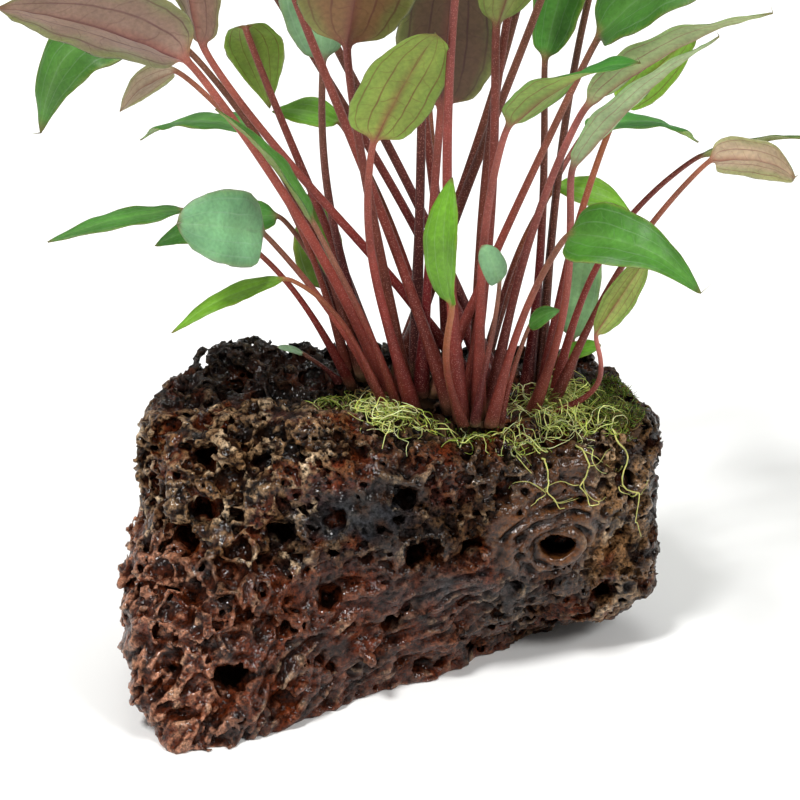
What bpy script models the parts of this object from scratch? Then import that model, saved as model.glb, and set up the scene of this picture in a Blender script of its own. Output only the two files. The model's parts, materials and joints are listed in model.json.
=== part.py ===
"""Cryptocoryne growing on a lava stone, at its real size.

The stone is one broken lump of lava with a flat cut underneath. Five short rhizomes sit in shallow
sockets on its top. Each leaf is one grown piece: a round petiole that flattens into its blade.
Lengths in the tables are millimetres. X is right, Y is back, Z is up, and the origin is on the ground.
"""

import math

import bmesh
import bpy
import numpy as np
from mathutils import Matrix, Vector, noise
from mathutils.bvhtree import BVHTree

MM = 0.001
FAR = 300  # outside the object, where surfaces are looked for from
GAP = 0.4  # clearance between pieces that touch
FOOT_GAP = 0.6  # the same, under a petiole that leans
LUMP_SUBDIVISIONS = 1

# The stone: a cage of level outlines, walked from the right end round the back to the front.
STONE_STATIONS = 12
STONE_GROW = 1.02  # makes up for what Subdivision Surface pulls in
STONE_SUBDIVISIONS = 3
STONE_KEEP = 0.09  # share of the faces that are left after thinning out
STONE_OUTLINES = {
    -8: [(44, 36), (50, 48), (40, 60), (0, 64), (-47, 56), (-62, 34),
         (-64, 6), (-67, -33), (-63, -55), (-36, -36), (-4, -10), (22, 15)],
    5: [(54, 32), (59, 47), (46, 61), (0, 66), (-48, 58), (-66, 35),
        (-67, 3), (-69, -34), (-66, -55), (-37, -37), (-4, -11), (28, 17)],
    16: [(77, 13), (72, 44), (52, 64), (2, 69), (-50, 61), (-70, 36),
         (-77, 2), (-80, -27), (-70, -47), (-38, -34), (-4, -15), (43, 8)],
    33: [(75, 14), (75, 44), (56, 66), (4, 71), (-53, 63), (-71, 38),
         (-75, 4), (-79, -21), (-63, -38), (-37, -30), (-6, -17), (44, -3)],
    49: [(74, 10), (73, 42), (60, 66), (4, 70), (-52, 62), (-70, 40),
         (-70, 8), (-65, -13), (-53, -22), (-30, -24), (-2, -20), (43, -5)],
    62: [(73, 13), (73, 42), (60, 66), (4, 69), (-54, 62), (-70, 41),
         (-73, 13), (-65, -5), (-48, -14), (-27, -17), (0, -18), (43, -6)],
}
STONE_RIM = [(71, 18, 68), (70, 42, 73), (58, 64, 78), (4, 62, 80), (-50, 58, 86), (-65, 40, 83),
             (-70, 17, 75), (-62, 3, 75), (-42, -5, 78), (-23, -11, 80), (0, -13, 76), (39, 1, 67)]
STONE_TOP = [(50, 22, 71), (50, 38, 75), (40, 50, 77), (4, 48, 77), (-32, 46, 83), (-46, 36, 80),
             (-48, 22, 76), (-42, 12, 77), (-28, 4, 78), (-15, 0, 79), (2, -2, 76), (30, 7, 72)]
STONE_TOP_CENTRE = (2, 24, 76)
FLOW_AXIS = (0.93, 0.36)  # the way the lava flowed, right and up
FLOW_TOP = 60  # ridges of its flow show below this height
FLOW_FADE = 30
STONE_SPAN = 400  # the ground cutter, wider than the stone
STONE_BOTTOM = (-4, 12)  # where the cage's lowest faces meet, in plan

# Pits in the stone: where they are aimed from, two coordinates on that side, radius and depth share.
PITS = [
    ("front", 45, 43, 7.0, 0.9), ("front", -55, 71, 4.2, 0.8), ("front", -39, 72, 3.6, 0.8),
    ("front", -61, 50, 5.4, 0.7), ("front", -33, 53, 4.4, 0.6), ("front", 6, 45, 5.0, 0.6),
    ("front", 20, 46, 4.4, 0.6), ("front", 29, 61, 3.0, 0.9), ("front", -47, 18, 5.2, 0.6),
    ("front", -65, 39, 3.2, 0.9), ("front", -55, 58, 3.8, 0.8), ("front", 58, 22, 4.0, 0.7),
    ("front", -18, 58, 3.6, 0.6), ("front", -20, 36, 3.8, 0.5), ("front", 2, 62, 3.6, 0.6),
    ("front", 32, 30, 3.8, 0.5), ("front", -2, 24, 3.8, 0.5), ("front", 64, 58, 3.6, 0.6),
    ("front", -33, 10, 3.6, 0.5), ("front", 64, 40, 3.4, 0.5), ("right", 34, 52, 5.4, 0.7),
    ("right", 50, 32, 4.6, 0.8), ("right", 22, 28, 4.4, 0.5), ("right", 56, 60, 4.0, 0.5),
    ("back", 30, 50, 5.6, 0.7), ("back", -8, 38, 5.2, 0.8), ("back", -38, 56, 5.6, 0.6),
    ("back", 8, 62, 4.6, 0.5), ("back", 46, 26, 4.8, 0.5), ("back", -34, 22, 4.8, 0.5),
    ("left", 20, 46, 5.6, 0.7), ("left", 44, 60, 4.6, 0.8), ("left", 36, 24, 4.8, 0.5),
    ("left", -12, 26, 4.6, 0.5), ("left", 8, 66, 4.2, 0.5), ("top", -50, 30, 5.2, 0.7),
    ("top", -34, 50, 5.0, 0.6), ("top", 56, 52, 4.6, 0.5),
]
PIT_WIDEN = 1.15  # a pit is this much wider than its radius along the stone, and less deep
PIT_FLATTEN = 0.85
PIT_LUMPY = 0.3
PAD_LUMPY = 0.25
AIMS = {
    "front": lambda a, b: (Vector((a, -FAR, b)), Vector((0, 1, 0))),
    "back": lambda a, b: (Vector((a, FAR, b)), Vector((0, -1, 0))),
    "right": lambda a, b: (Vector((FAR, a, b)), Vector((-1, 0, 0))),
    "left": lambda a, b: (Vector((-FAR, a, b)), Vector((1, 0, 0))),
    "top": lambda a, b: (Vector((a, b, FAR)), Vector((0, 0, -1))),
}

# Rhizomes: centre in plan on the stone's top, half sizes and turn in plan, in degrees. Moss pads: the same.
RHIZOMES = {
    "rhizome_left": ((-5, 35), (7.5, 7.0, 4.0), 0),
    "rhizome_middle": ((4, 22), (7.5, 6.0, 4.5), 0),
    "rhizome_front": ((20, 17), (8.0, 6.0, 4.5), 0),
    "rhizome_right": ((36, 28), (8.5, 8.0, 4.5), 0),
    "rhizome_back": ((17, 40), (8.5, 8.0, 4.0), 0),
}
RHIZOME_SINK = 1.5
MOSS_PADS = {
    "moss_left": ((-17, 19), (12.0, 6.5, 4.5), -25),
    "moss_front": ((17, 3.5), (27.0, 5.5, 5.5), 8),
    "moss_right": ((60, 28), (10.0, 16.0, 5.5), 20),
}
MOSS_SINK = 1.5
SOCKET_GROW = 1.6  # a socket is this many gaps larger all round, because its facets cut corners

# Loose roots that trail over the stone's front edge: route points above the surface they follow.
ROOT_RADIUS = 0.7
ROOT_LIFT = 1.2
ROOTS = {
    "root_long": [(60, 10, 74), (66, 6, 66), (69, 3, 58), (72, 4, 48), (74, 6, 40)],
    "root_front": [(40, -3, 72), (42, -5, 66), (46, -9, 60), (52, -9, 56)],
    "root_side": [(50, 4, 72), (54, 0, 66), (53, -5, 59), (58, -6, 54)],
}

# Leaves: rhizome, neck where petiole meets blade, tip, blade width, where the upper side faces,
# arch of the blade, petiole radius, and how far the petiole bows sideways.
UP = (0, 0, 1)
LEAVES = [
    ("middle", (-56, -12, 188), (-104, -26, 206), 36, (0.1, 0.8, 0.6), 6, 1.5, (0, 0, -3)),
    ("right", (-53, 2, 187), (-68, 6, 232), 28, (0.7, 0.6, 0.3), 5, 1.5, (0, 0, 0)),
    ("left", (-59, 23, 182), (-101, 5, 162), 24, (-0.4, -0.35, 0.9), 34, 1.3, (3, 0, 0)),
    ("left", (-62, 24, 175), (-78, 18, 165), 13, (-0.4, 0.7, 0.5), 4, 1.05, (4, 0, 0)),
    ("middle", (-23, -20, 145), (-47, -26, 180), 10, (0.75, -0.2, 0.5), 3, 1.05, (0, 0, 0)),
    ("left", (-43, 26, 187), (-37, 44, 158), 17, (0, 1, 0.1), 12, 1.3, (0, 0, 0)),
    ("back", (-17, 46, 153), (-37, 52, 155), 13, (0, -0.4, 1), 4, 1.05, (0, 0, 0)),
    ("middle", (-7, -26, 170), (9, -42, 204), 22, (-0.1, 0.9, 0.4), 3, 1.4, (-4, 0, 0)),
    ("middle", (-14, -24, 195), (-6, -52, 240), 32, (0, 0.85, 0.5), 6, 1.55, (0, 0, 0)),
    ("middle", (11, -4, 172), (15, -14, 226), 28, (0.1, 0.95, 0.1), 4, 1.5, (0, 0, 0)),
    ("front", (25, -18, 199), (38, -40, 238), 20, (-0.2, 0.8, 0.5), 5, 1.5, (4, 0, 0)),
    ("left", (-21, 16, 179), (-28, 24, 226), 22, (0.3, -0.9, 0.2), 4, 1.3, (-6, 0, 0)),
    ("right", (40, 28, 176), (54, 38, 224), 17, (-0.5, -0.8, 0.2), 4, 1.3, (3, 0, 0)),
    ("front", (28, -26, 174), (60, -42, 198), 17, (-0.3, 0.8, 0.5), 6, 1.4, (0, 0, 0)),
    ("middle", (53, 8, 188), (96, 0, 220), 30, (-0.3, -0.4, 0.85), 8, 1.4, (0, -6, -3)),
    ("front", (49, -12, 175), (96, -22, 206), 19, (-0.3, 0.7, 0.6), 5, 1.4, (0, 0, 0)),
    ("right", (45, -22, 161), (81, -34, 202), 15, (-0.5, 0.7, 0.4), 3, 1.3, (7, -4, 0)),
    ("right", (60, 14, 167), (81, 10, 191), 13, (0.3, 0.9, 0.2), 2, 1.15, (0, 0, 0)),
    ("right", (82, 8, 155), (117, 0, 163), 14, (0, 0.3, 1), 4, 1.05, (-4, 0, 5)),
    ("right", (84, -4, 158), (107, -14, 157), 15, (0.1, 0.9, 0.4), 6, 1.05, (0, 0, 0)),
    ("front", (44, -32, 146), (81, -54, 141), 20, (-0.1, -0.75, 0.65), 15, 1.3, (0, 0, 0)),
    ("right", (50, 38, 89), (56, 46, 130), 12, (-0.2, -0.95, 0.2), 2, 1.05, (2, 0, 0)),
    ("right", (54, 0, 105), (69, -8, 134), 9, (0.5, 0.8, 0.2), 2, 0.9, (8, 0, -4)),
    ("front", (14, -36, 127), (13, -36, 163), 14, (-0.75, -0.5, 0.2), 5, 1.15, (-4, 0, 0)),
    ("middle", (-37, -10, 139), (-57, -34, 150), 21, (0.1, -0.9, 0.4), 4, 1.05, (0, 0, 0)),
    ("left", (-34, 31, 130), (-70, 23, 125), 13, (0, -0.6, 0.8), 6, 1.05, (0, 0, 0)),
    ("left", (-58, -2, 143), (-95, -16, 139), 9, (0, -0.3, 1), 3, 1.0, (0, 0, 4)),
    ("middle", (-31, -10, 126), (-62, -22, 115), 8, (0, -0.3, 1), 5, 0.9, (0, 0, 3)),
    ("left", (-22, 40, 104), (-26, 46, 132), 15, (0.2, -0.9, 0.2), 2, 1.0, (0, 0, 0)),
    ("back", (45, 44, 135), (66, 36, 130), 11, (0, -0.5, 0.85), 4, 1.0, (0, 0, 0)),
    ("right", (46, 36, 85), (58, 32, 90), 7, (0, -0.5, 0.85), 2, 0.85, (0, 0, 0)),
    ("front", (36, 3, 107), (44, -2, 114), 7, (0.2, -0.6, 0.8), 2, 0.85, (0, 0, 0)),
    ("front", (27, -16, 127), (22, -18, 138), 8, (0.4, -0.8, 0.3), 2, 0.9, (0, 0, 0)),
    ("left", (-28, 26, 90), (-35, 23, 93), 4, (0, -0.3, 1), 1, 0.85, (0, 0, 0)),
    ("right", (-46, 20, 218), (-84, 14, 262), 30, (0.3, -0.3, 0.9), 9, 1.5, (0, 5, 0)),
    ("right", (-36, 38, 216), (-56, 66, 256), 30, (0.4, -0.5, 0.7), 8, 1.5, (0, 6, 0)),
    ("front", (-30, -8, 210), (-48, -34, 252), 28, (0.3, 0.6, 0.6), 8, 1.5, (0, 0, 0)),
    ("front", (14, -44, 214), (16, -84, 240), 28, (0, 0.7, 0.7), 9, 1.5, (-3, -3, 0)),
    ("front", (33, 6, 218), (46, -2, 266), 28, (-0.2, 0.9, 0.2), 7, 1.55, (-3, 0, 0)),
    ("left", (44, 20, 212), (74, 26, 256), 30, (-0.5, -0.3, 0.7), 8, 1.55, (0, -9, 0)),
    ("right", (54, 34, 200), (96, 48, 234), 28, (-0.3, -0.3, 0.9), 9, 1.4, (0, 0, 0)),
    ("back", (0, 56, 204), (-14, 100, 238), 30, (0, -0.5, 0.9), 9, 1.5, (0, 0, 0)),
    ("left", (36, 66, 190), (64, 110, 214), 28, (-0.2, -0.4, 0.9), 9, 1.4, (4, 2, 0)),
    ("back", (-34, 62, 190), (-68, 100, 214), 28, (0.2, -0.4, 0.9), 9, 1.4, (0, 0, 0)),
    ("back", (8, 78, 160), (14, 122, 164), 22, (0, -0.3, 1), 9, 1.25, (0, 0, 0)),
    ("left", (-42, 58, 146), (-78, 86, 136), 20, UP, 9, 1.15, (0, 0, 0)),
    ("back", (54, 66, 144), (90, 90, 134), 20, UP, 9, 1.15, (0, 0, 0)),
    ("middle", (6, 24, 224), (-2, 14, 278), 28, (0.1, -0.9, 0.3), 6, 1.55, (0, 3, 0)),
]
BASE_RADIUS_SHARE = 1.3  # a petiole's foot is this much thicker than its middle
NECK_RADIUS_SHARE = 0.75
SLIM_AT = 0.25  # where along it the petiole has slimmed down
FOOT_MARGIN = 1.2  # the ground is felt a little wider than the foot, at this many places
FOOT_SAMPLES = 16
BASE_SPACING = 4.4  # between the feet of two petioles
PETIOLE_RINGS = 6
PETIOLE_SAMPLES = 24
BASE_STEPS = 400  # how often the feet are pushed apart
BASE_PUSH = 0.25
LEAN_SHARE = 1.4  # how far out a leaning petiole starts, and at most
RISE = 0.45  # how much steeper than its chord a petiole starts
NECK_TURN = 0.5  # how far its end turns into the blade
PETIOLE_PULLS = (0.36, 0.32)  # how far its Bezier handles reach, as shares of its chord
BOW_PULL = 1.4
SPREAD_STEPS = 260
SPREAD_GAP = 0.8
SPREAD_MARGIN = 1.12
SPREAD_PUSH = 0.22
SPREAD_EASE = 0.03  # how much a petiole straightens after each push
BLADE_STATIONS = (0.08, 0.3, 0.6, 0.86, 1.0)
BLADE_SHARES = (0.68, 1.0, 0.86, 0.42, 0.05)
BLADE_THICKNESS = 0.9
BLADE_THINNING = (1.2, 0.6)  # thickness share at the blade's base, and how much of it is lost at the tip
BLADE_INNER = 0.45  # where a blade's inner section points are, as a share of its half width
BLADE_DISH = 0.35  # and of the lift of its edge
BLADE_FOLD = math.radians(17)
RING_SIDES = 6


def clear_scene():
    """Remove the startup objects."""
    for obj in list(bpy.data.objects):
        bpy.data.objects.remove(obj)


def new_collection(name):
    """A collection under the scene."""
    made = bpy.data.collections.new(name)
    bpy.context.scene.collection.children.link(made)
    return made


def make_material(name, colour, roughness):
    """A Principled material of one colour."""
    made = bpy.data.materials.new(name)
    made.use_nodes = True
    shader = made.node_tree.nodes["Principled BSDF"]
    shader.inputs["Base Color"].default_value = (*colour, 1)
    shader.inputs["Roughness"].default_value = roughness
    shader.inputs["Metallic"].default_value = 0
    return made


def object_from(name, points, faces, collection, materials):
    """A mesh object from points in millimetres."""
    mesh = bpy.data.meshes.new(name)
    mesh.from_pydata([Vector(p) * MM for p in points], [], faces)
    for material in materials:
        mesh.materials.append(material)
    obj = bpy.data.objects.new(name, mesh)
    collection.objects.link(obj)
    return obj


def shade(obj):
    """Smooth shading that keeps sharp creases."""
    obj.data.shade_smooth()
    obj.data.set_sharp_from_angle(angle=math.radians(50))


def evaluated_mesh(obj):
    """The object's mesh with its modifiers applied."""
    graph = bpy.context.evaluated_depsgraph_get()
    return bpy.data.meshes.new_from_object(obj.evaluated_get(graph))


def surface_tree(obj):
    """A search tree of the object's surface, in metres."""
    graph = bpy.context.evaluated_depsgraph_get()
    return BVHTree.FromObject(obj, graph)


def grown(x, y):
    """An outline point pushed out from the stone's middle."""
    middle = Vector(STONE_TOP_CENTRE)
    return (
        middle.x + (x - middle.x) * STONE_GROW,
        middle.y + (y - middle.y) * STONE_GROW,
    )


def stone_cage():
    """Points and faces of the stone's coarse cage, closed at the bottom and at the top."""
    rings = [
        [(*grown(x, y), height) for x, y in outline]
        for height, outline in STONE_OUTLINES.items()
    ]
    rings.append([(*grown(x, y), z) for x, y, z in STONE_RIM])
    rings.append([(x, y, z) for x, y, z in STONE_TOP])
    points = [p for ring in rings for p in ring]
    faces = []
    for level in range(len(rings) - 1):
        low, high = level * STONE_STATIONS, (level + 1) * STONE_STATIONS
        for i in range(STONE_STATIONS):
            j = (i + 1) % STONE_STATIONS
            faces.append((low + i, low + j, high + j, high + i))
    points.append((*STONE_BOTTOM, min(STONE_OUTLINES)))
    points.append(STONE_TOP_CENTRE)
    below, above = len(points) - 2, len(points) - 1
    top = (len(rings) - 1) * STONE_STATIONS
    for i in range(STONE_STATIONS):
        j = (i + 1) % STONE_STATIONS
        faces.append((j, i, below))
        faces.append((top + i, top + j, above))
    return points, faces


def stone_relief(p):
    """Lumps, ledges and ridges: how far a point of the stone moves out, in millimetres."""
    lumps = 3.2 * noise.noise(p / 30) + 2.6 * noise.noise(p / 13 + Vector((5, 1, 9)))
    crags = 2.4 * (0.5 - abs(noise.noise(p / 9 + Vector((2, 7, 4)))) * 2)
    along = FLOW_AXIS[0] * p.x + FLOW_AXIS[1] * p.z
    across = FLOW_AXIS[0] * p.z - FLOW_AXIS[1] * p.x
    flow = noise.noise(Vector((along / 36, across / 8, p.y / 40 + 3)))
    low = min(max((FLOW_TOP - p.z) / FLOW_FADE, 0), 1)
    return lumps + crags + low * (1.6 - 5 * abs(flow))


def build_stone(collection, cutters, material):
    """The lava stone before its pits and sockets are cut."""
    points, faces = stone_cage()
    cage = object_from("stone_cage", points, faces, cutters, [])
    smooth = cage.modifiers.new("round", "SUBSURF")
    smooth.levels = smooth.render_levels = STONE_SUBDIVISIONS
    mesh = evaluated_mesh(cage)
    bpy.data.objects.remove(cage)
    normals = [v.normal.copy() for v in mesh.vertices]
    for vertex, normal in zip(mesh.vertices, normals):
        vertex.co += normal * stone_relief(vertex.co / MM) * MM
    stone = bpy.data.objects.new("lava_stone", mesh)
    mesh.materials.append(material)
    collection.objects.link(stone)
    thin = stone.modifiers.new("thin out", "DECIMATE")
    thin.ratio = STONE_KEEP
    return stone


def add_lump(name, collection, centre, half_sizes, lumpy, turn=0.0):
    """A round lump: an icosphere stretched to its half sizes, in millimetres."""
    bm = bmesh.new()
    bmesh.ops.create_icosphere(bm, subdivisions=LUMP_SUBDIVISIONS, radius=1)
    turned = Matrix.Rotation(math.radians(turn), 3, "Z")
    for vertex in bm.verts:
        swell = 1 + lumpy * noise.noise(vertex.co * 2.3 + Vector(centre) * 0.1)
        stretched = Vector(a * b for a, b in zip(vertex.co * swell, half_sizes))
        vertex.co = (turned @ stretched + Vector(centre)) * MM
    mesh = bpy.data.meshes.new(name)
    bm.to_mesh(mesh)
    bm.free()
    obj = bpy.data.objects.new(name, mesh)
    collection.objects.link(obj)
    return obj


def helper(obj):
    """Marks a cutter, which is not part of the object."""
    obj.hide_render = True
    obj.display_type = "WIRE"


def add_pit_cutters(tree, cutters):
    """Cutters for the pits, aimed at the stone's surface from its sides."""
    for number, (side, a, b, radius, depth) in enumerate(PITS):
        start, direction = AIMS[side](a, b)
        hit, normal = tree.ray_cast(start * MM, direction)[:2]
        centre = hit / MM + normal * radius * (1 - depth)
        stretch = (radius * PIT_WIDEN, radius * PIT_WIDEN, radius * PIT_FLATTEN)
        helper(add_lump(f"pit_{number:02d}", cutters, centre, stretch, PIT_LUMPY))


def add_ground_cutter(cutters):
    """A cutter for all that is below the ground, which makes the stone's flat base."""
    flat = bpy.data.meshes.new("ground")
    bm = bmesh.new()
    bmesh.ops.create_cube(bm, size=STONE_SPAN * MM)
    for vertex in bm.verts:
        vertex.co.z -= STONE_SPAN * MM / 2
    bm.to_mesh(flat)
    bm.free()
    ground = bpy.data.objects.new("ground", flat)
    cutters.objects.link(ground)
    helper(ground)


def height_at(trees, x, y):
    """Highest surface of the given pieces above a point of the plan, in millimetres."""
    start = Vector((x, y, FAR)) * MM
    hits = [tree.ray_cast(start, Vector((0, 0, -1)))[0] for tree in trees]
    return max(hit.z / MM for hit in hits if hit is not None)


def build_pads(pads, sink, tree, collection, cutters, material):
    """Rhizomes or moss pads, each in a socket cut into the stone for it."""
    made = []
    for name, ((x, y), half_sizes, turn) in pads.items():
        centre = (x, y, height_at([tree], x, y) - sink)
        pad = add_lump(name, collection, centre, half_sizes, PAD_LUMPY, turn)
        pad.data.materials.append(material)
        socket_sizes = tuple(size + SOCKET_GROW * GAP for size in half_sizes)
        helper(add_lump(name + "_socket", cutters, centre, socket_sizes, PAD_LUMPY, turn))
        made.append(pad)
    return made


def unit(v):
    """The vector at length one."""
    return v / max(np.linalg.norm(v), 1e-9)


def bezier(points, t):
    """Points of a Bezier curve of any degree at parameters t."""
    t = np.asarray(t)[:, None]
    degree = len(points) - 1
    return sum(
        math.comb(degree, k) * (1 - t) ** (degree - k) * t**k * np.asarray(p, float)
        for k, p in enumerate(points)
    )


def place_feet():
    """Plan positions of the petiole feet: the more a petiole leans, the further out it starts."""
    feet = []
    for leaf in LEAVES:
        centre, half_sizes, _ = RHIZOMES["rhizome_" + leaf[0]]
        away = np.array(leaf[1][:2], float) - centre
        rise = leaf[1][2] - STONE_TOP_CENTRE[2]
        lean = LEAN_SHARE * min(np.linalg.norm(away) / rise, 1)
        feet.append(np.array(centre, float) + unit(away) * (1 + lean * half_sizes[0]))
    feet = np.array(feet)
    for _ in range(BASE_STEPS):
        for i in range(len(feet)):
            for j in range(i):
                between = feet[i] - feet[j]
                distance = np.linalg.norm(between)
                if distance < BASE_SPACING:
                    push = unit(between) * (BASE_SPACING - distance) * BASE_PUSH
                    feet[i] += push
                    feet[j] -= push
    return feet


def blade_face(leaf):
    """Direction that the upper side of the blade looks in, square to its length."""
    chord = unit(np.array(leaf[2], float) - leaf[1])
    face = np.array(leaf[4], float)
    return unit(face - face.dot(chord) * chord)


def blade_spine(leaf):
    """Control points of the blade's midrib, arched towards its upper side."""
    neck, tip = np.array(leaf[1], float), np.array(leaf[2], float)
    return [neck, (neck + tip) / 2 + blade_face(leaf) * leaf[5], tip]


def petiole_route(foot, leaf):
    """Curve of one petiole from its foot to the neck of its blade."""
    neck, bow = np.array(leaf[1], float), np.array(leaf[7], float)
    chord = neck - foot
    length = np.linalg.norm(chord)
    start = unit(unit(chord) + np.array([0, 0, RISE]))
    end = unit(unit(chord) + NECK_TURN * unit(blade_spine(leaf)[1] - neck))
    controls = [
        foot,
        foot + start * length * PETIOLE_PULLS[0] + bow * BOW_PULL,
        neck - end * length * PETIOLE_PULLS[1] + bow * BOW_PULL,
        neck,
    ]
    return bezier(controls, np.linspace(0, 1, PETIOLE_SAMPLES))


def spread_petioles(routes, radii):
    """Pushes petioles that would touch apart, keeping both ends of each where they are."""
    routes = np.array(routes)
    count, samples = routes.shape[:2]
    owner = np.repeat(np.arange(count), samples)
    reach = np.repeat(radii, samples)
    share = np.tile(np.sin(np.linspace(0, math.pi, samples)) ** 0.5, count)[:, None]
    keep = (reach[:, None] + reach[None, :]) * SPREAD_MARGIN + SPREAD_GAP
    same = owner[:, None] == owner[None, :]
    for _ in range(SPREAD_STEPS):
        flat = routes.reshape(-1, 3)
        between = flat[:, None] - flat[None, :]
        distance = np.linalg.norm(between, axis=2) + 1e-9
        press = np.where(same, 0, np.clip(keep - distance, 0, None) / distance)
        move = (between * press[:, :, None]).sum(1) * SPREAD_PUSH * share
        move = move.reshape(count, samples, 3)
        for _ in range(2):
            move[:, 1:-1] = (move[:, :-2] + 2 * move[:, 1:-1] + move[:, 2:]) / 4
        routes = routes + move
        beside = routes[:, 1:-3] + routes[:, 3:-1]
        routes[:, 2:-2] = (1 - 2 * SPREAD_EASE) * routes[:, 2:-2] + SPREAD_EASE * beside
    return routes


def ring(centre, side, lift, half_width, half_height, fold):
    """Six points round a leaf's cross-section, from a round petiole to a folded blade."""
    is_round = half_width == half_height
    inner = math.cos(math.radians(60)) if is_round else BLADE_INNER
    tall = math.sin(math.radians(60)) if is_round else 1
    edge_lift = half_width * math.sin(fold)
    edge_out = half_width * math.cos(fold)
    inner_lift = edge_lift * BLADE_DISH
    inner_out = edge_out * inner
    return [
        centre - side * edge_out + lift * edge_lift,
        centre - side * inner_out + lift * (inner_lift + half_height * tall),
        centre + side * inner_out + lift * (inner_lift + half_height * tall),
        centre + side * edge_out + lift * edge_lift,
        centre + side * inner_out + lift * (inner_lift - half_height * tall),
        centre - side * inner_out + lift * (inner_lift - half_height * tall),
    ]


def leaf_rings(route, leaf):
    """All cross-sections of one leaf, from the petiole's foot to the blade's tip."""
    width, radius = leaf[3], leaf[6]
    face = blade_face(leaf)
    spine_points = blade_spine(leaf)
    rings = []
    side = unit(np.cross(spine_points[1] - spine_points[0], face))
    picks = np.linspace(0, PETIOLE_SAMPLES - 1, PETIOLE_RINGS).round().astype(int)
    tangents = np.gradient(route, axis=0)
    tangents[0] = (0, 0, 1)
    for pick in picks[::-1]:
        along = unit(tangents[pick])
        side = unit(side - side.dot(along) * along)
        up = np.cross(side, along)
        t = pick / (PETIOLE_SAMPLES - 1)
        size = radius * np.interp(t, (0, SLIM_AT, 1), (BASE_RADIUS_SHARE, 1, NECK_RADIUS_SHARE))
        rings.insert(0, ring(route[pick], side, up, size, size, 0))
    spine = bezier(spine_points, BLADE_STATIONS)
    before = bezier(spine_points, [s - 0.02 for s in BLADE_STATIONS])
    for centre, earlier, share, station in zip(spine, before, BLADE_SHARES, BLADE_STATIONS):
        along = unit(centre - earlier)
        lift = unit(face - face.dot(along) * along)
        across = np.cross(along, lift)
        thick = BLADE_THICKNESS / 2 * (BLADE_THINNING[0] - BLADE_THINNING[1] * station)
        rings.append(ring(centre, across, lift, width / 2 * share, thick, BLADE_FOLD))
    return rings


def build_leaf(name, rings, collection, materials):
    """Lofts a leaf through its cross-sections and closes both ends."""
    points = [p for cross_section in rings for p in cross_section]
    faces = []
    for level in range(len(rings) - 1):
        low, high = level * RING_SIDES, (level + 1) * RING_SIDES
        for i in range(RING_SIDES):
            j = (i + 1) % RING_SIDES
            faces.append((low + i, low + j, high + j, high + i))
    last = (len(rings) - 1) * RING_SIDES
    faces.append(tuple(range(RING_SIDES - 1, -1, -1)))
    faces.append(tuple(last + i for i in range(RING_SIDES)))
    leaf = object_from(name, points, faces, collection, materials)
    for number, face in enumerate(leaf.data.polygons):
        face.material_index = int(number >= (PETIOLE_RINGS - 1) * RING_SIDES)
    shade(leaf)
    return leaf


def build_leaves(trees, collection, materials):
    """Every leaf on its rhizome, clear of its neighbours."""
    feet = place_feet()
    radii = [leaf[6] for leaf in LEAVES]
    routes = []
    for (x, y), leaf in zip(feet, LEAVES):
        foot_radius = leaf[6] * BASE_RADIUS_SHARE * FOOT_MARGIN
        around = np.linspace(0, 2 * math.pi, FOOT_SAMPLES, endpoint=False)
        heights = [
            height_at(trees, x + foot_radius * math.cos(a), y + foot_radius * math.sin(a))
            for a in around
        ]
        heights.append(height_at(trees, x, y))
        routes.append(petiole_route(np.array([x, y, max(heights) + FOOT_GAP]), leaf))
    for number, (route, leaf) in enumerate(zip(spread_petioles(routes, radii), LEAVES), 1):
        build_leaf(f"leaf_{number:02d}", leaf_rings(route, leaf), collection, materials)


def build_roots(tree, collection, material):
    """Loose roots laid over the stone: tubes that follow its surface."""
    for name, points in ROOTS.items():
        route = []
        for share in np.linspace(0, len(points) - 1, 4 * len(points)):
            k = min(int(share), len(points) - 2)
            spot = Vector(points[k]).lerp(Vector(points[k + 1]), share - k)
            near, normal = tree.find_nearest(spot * MM)[:2]
            route.append(near / MM + normal * ROOT_LIFT)
        for _ in range(3):
            middle = [(a + b * 2 + c) / 4 for a, b, c in zip(route, route[1:], route[2:])]
            route = [route[0], *middle, route[-1]]
        curve = bpy.data.curves.new(name, "CURVE")
        curve.dimensions = "3D"
        curve.bevel_depth = ROOT_RADIUS * MM
        curve.bevel_resolution = 1
        curve.use_fill_caps = True
        spline = curve.splines.new("POLY")
        spline.points.add(len(route) - 1)
        for point, place in zip(spline.points, route):
            point.co = (*(place * MM), 1)
        curve.materials.append(material)
        collection.objects.link(bpy.data.objects.new(name, curve))


def main():
    clear_scene()
    plant = new_collection("cryptocoryne_on_stone")
    cutters = new_collection("cutters")
    lava = make_material("lava", (0.09, 0.045, 0.03), 0.6)
    rhizome_skin = make_material("rhizome", (0.35, 0.22, 0.10), 0.6)
    moss_green = make_material("moss", (0.33, 0.42, 0.08), 0.9)
    root_pale = make_material("root", (0.55, 0.55, 0.20), 0.6)
    petiole_red = make_material("petiole", (0.28, 0.06, 0.05), 0.45)
    blade_green = make_material("blade", (0.16, 0.32, 0.07), 0.45)

    stone = build_stone(plant, cutters, lava)
    tree = surface_tree(stone)
    add_pit_cutters(tree, cutters)
    add_ground_cutter(cutters)
    rhizomes = build_pads(RHIZOMES, RHIZOME_SINK, tree, plant, cutters, rhizome_skin)
    pads = build_pads(MOSS_PADS, MOSS_SINK, tree, plant, cutters, moss_green)
    cut = stone.modifiers.new("pits and sockets", "BOOLEAN")
    cut.operation = "DIFFERENCE"
    cut.operand_type = "COLLECTION"
    cut.collection = cutters
    cut.solver = "EXACT"
    trees = [tree, *[surface_tree(piece) for piece in (*rhizomes, *pads)]]
    build_leaves(trees, plant, [petiole_red, blade_green])
    build_roots(tree, plant, root_pale)


main()
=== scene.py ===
import json
import math
from collections import namedtuple

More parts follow.
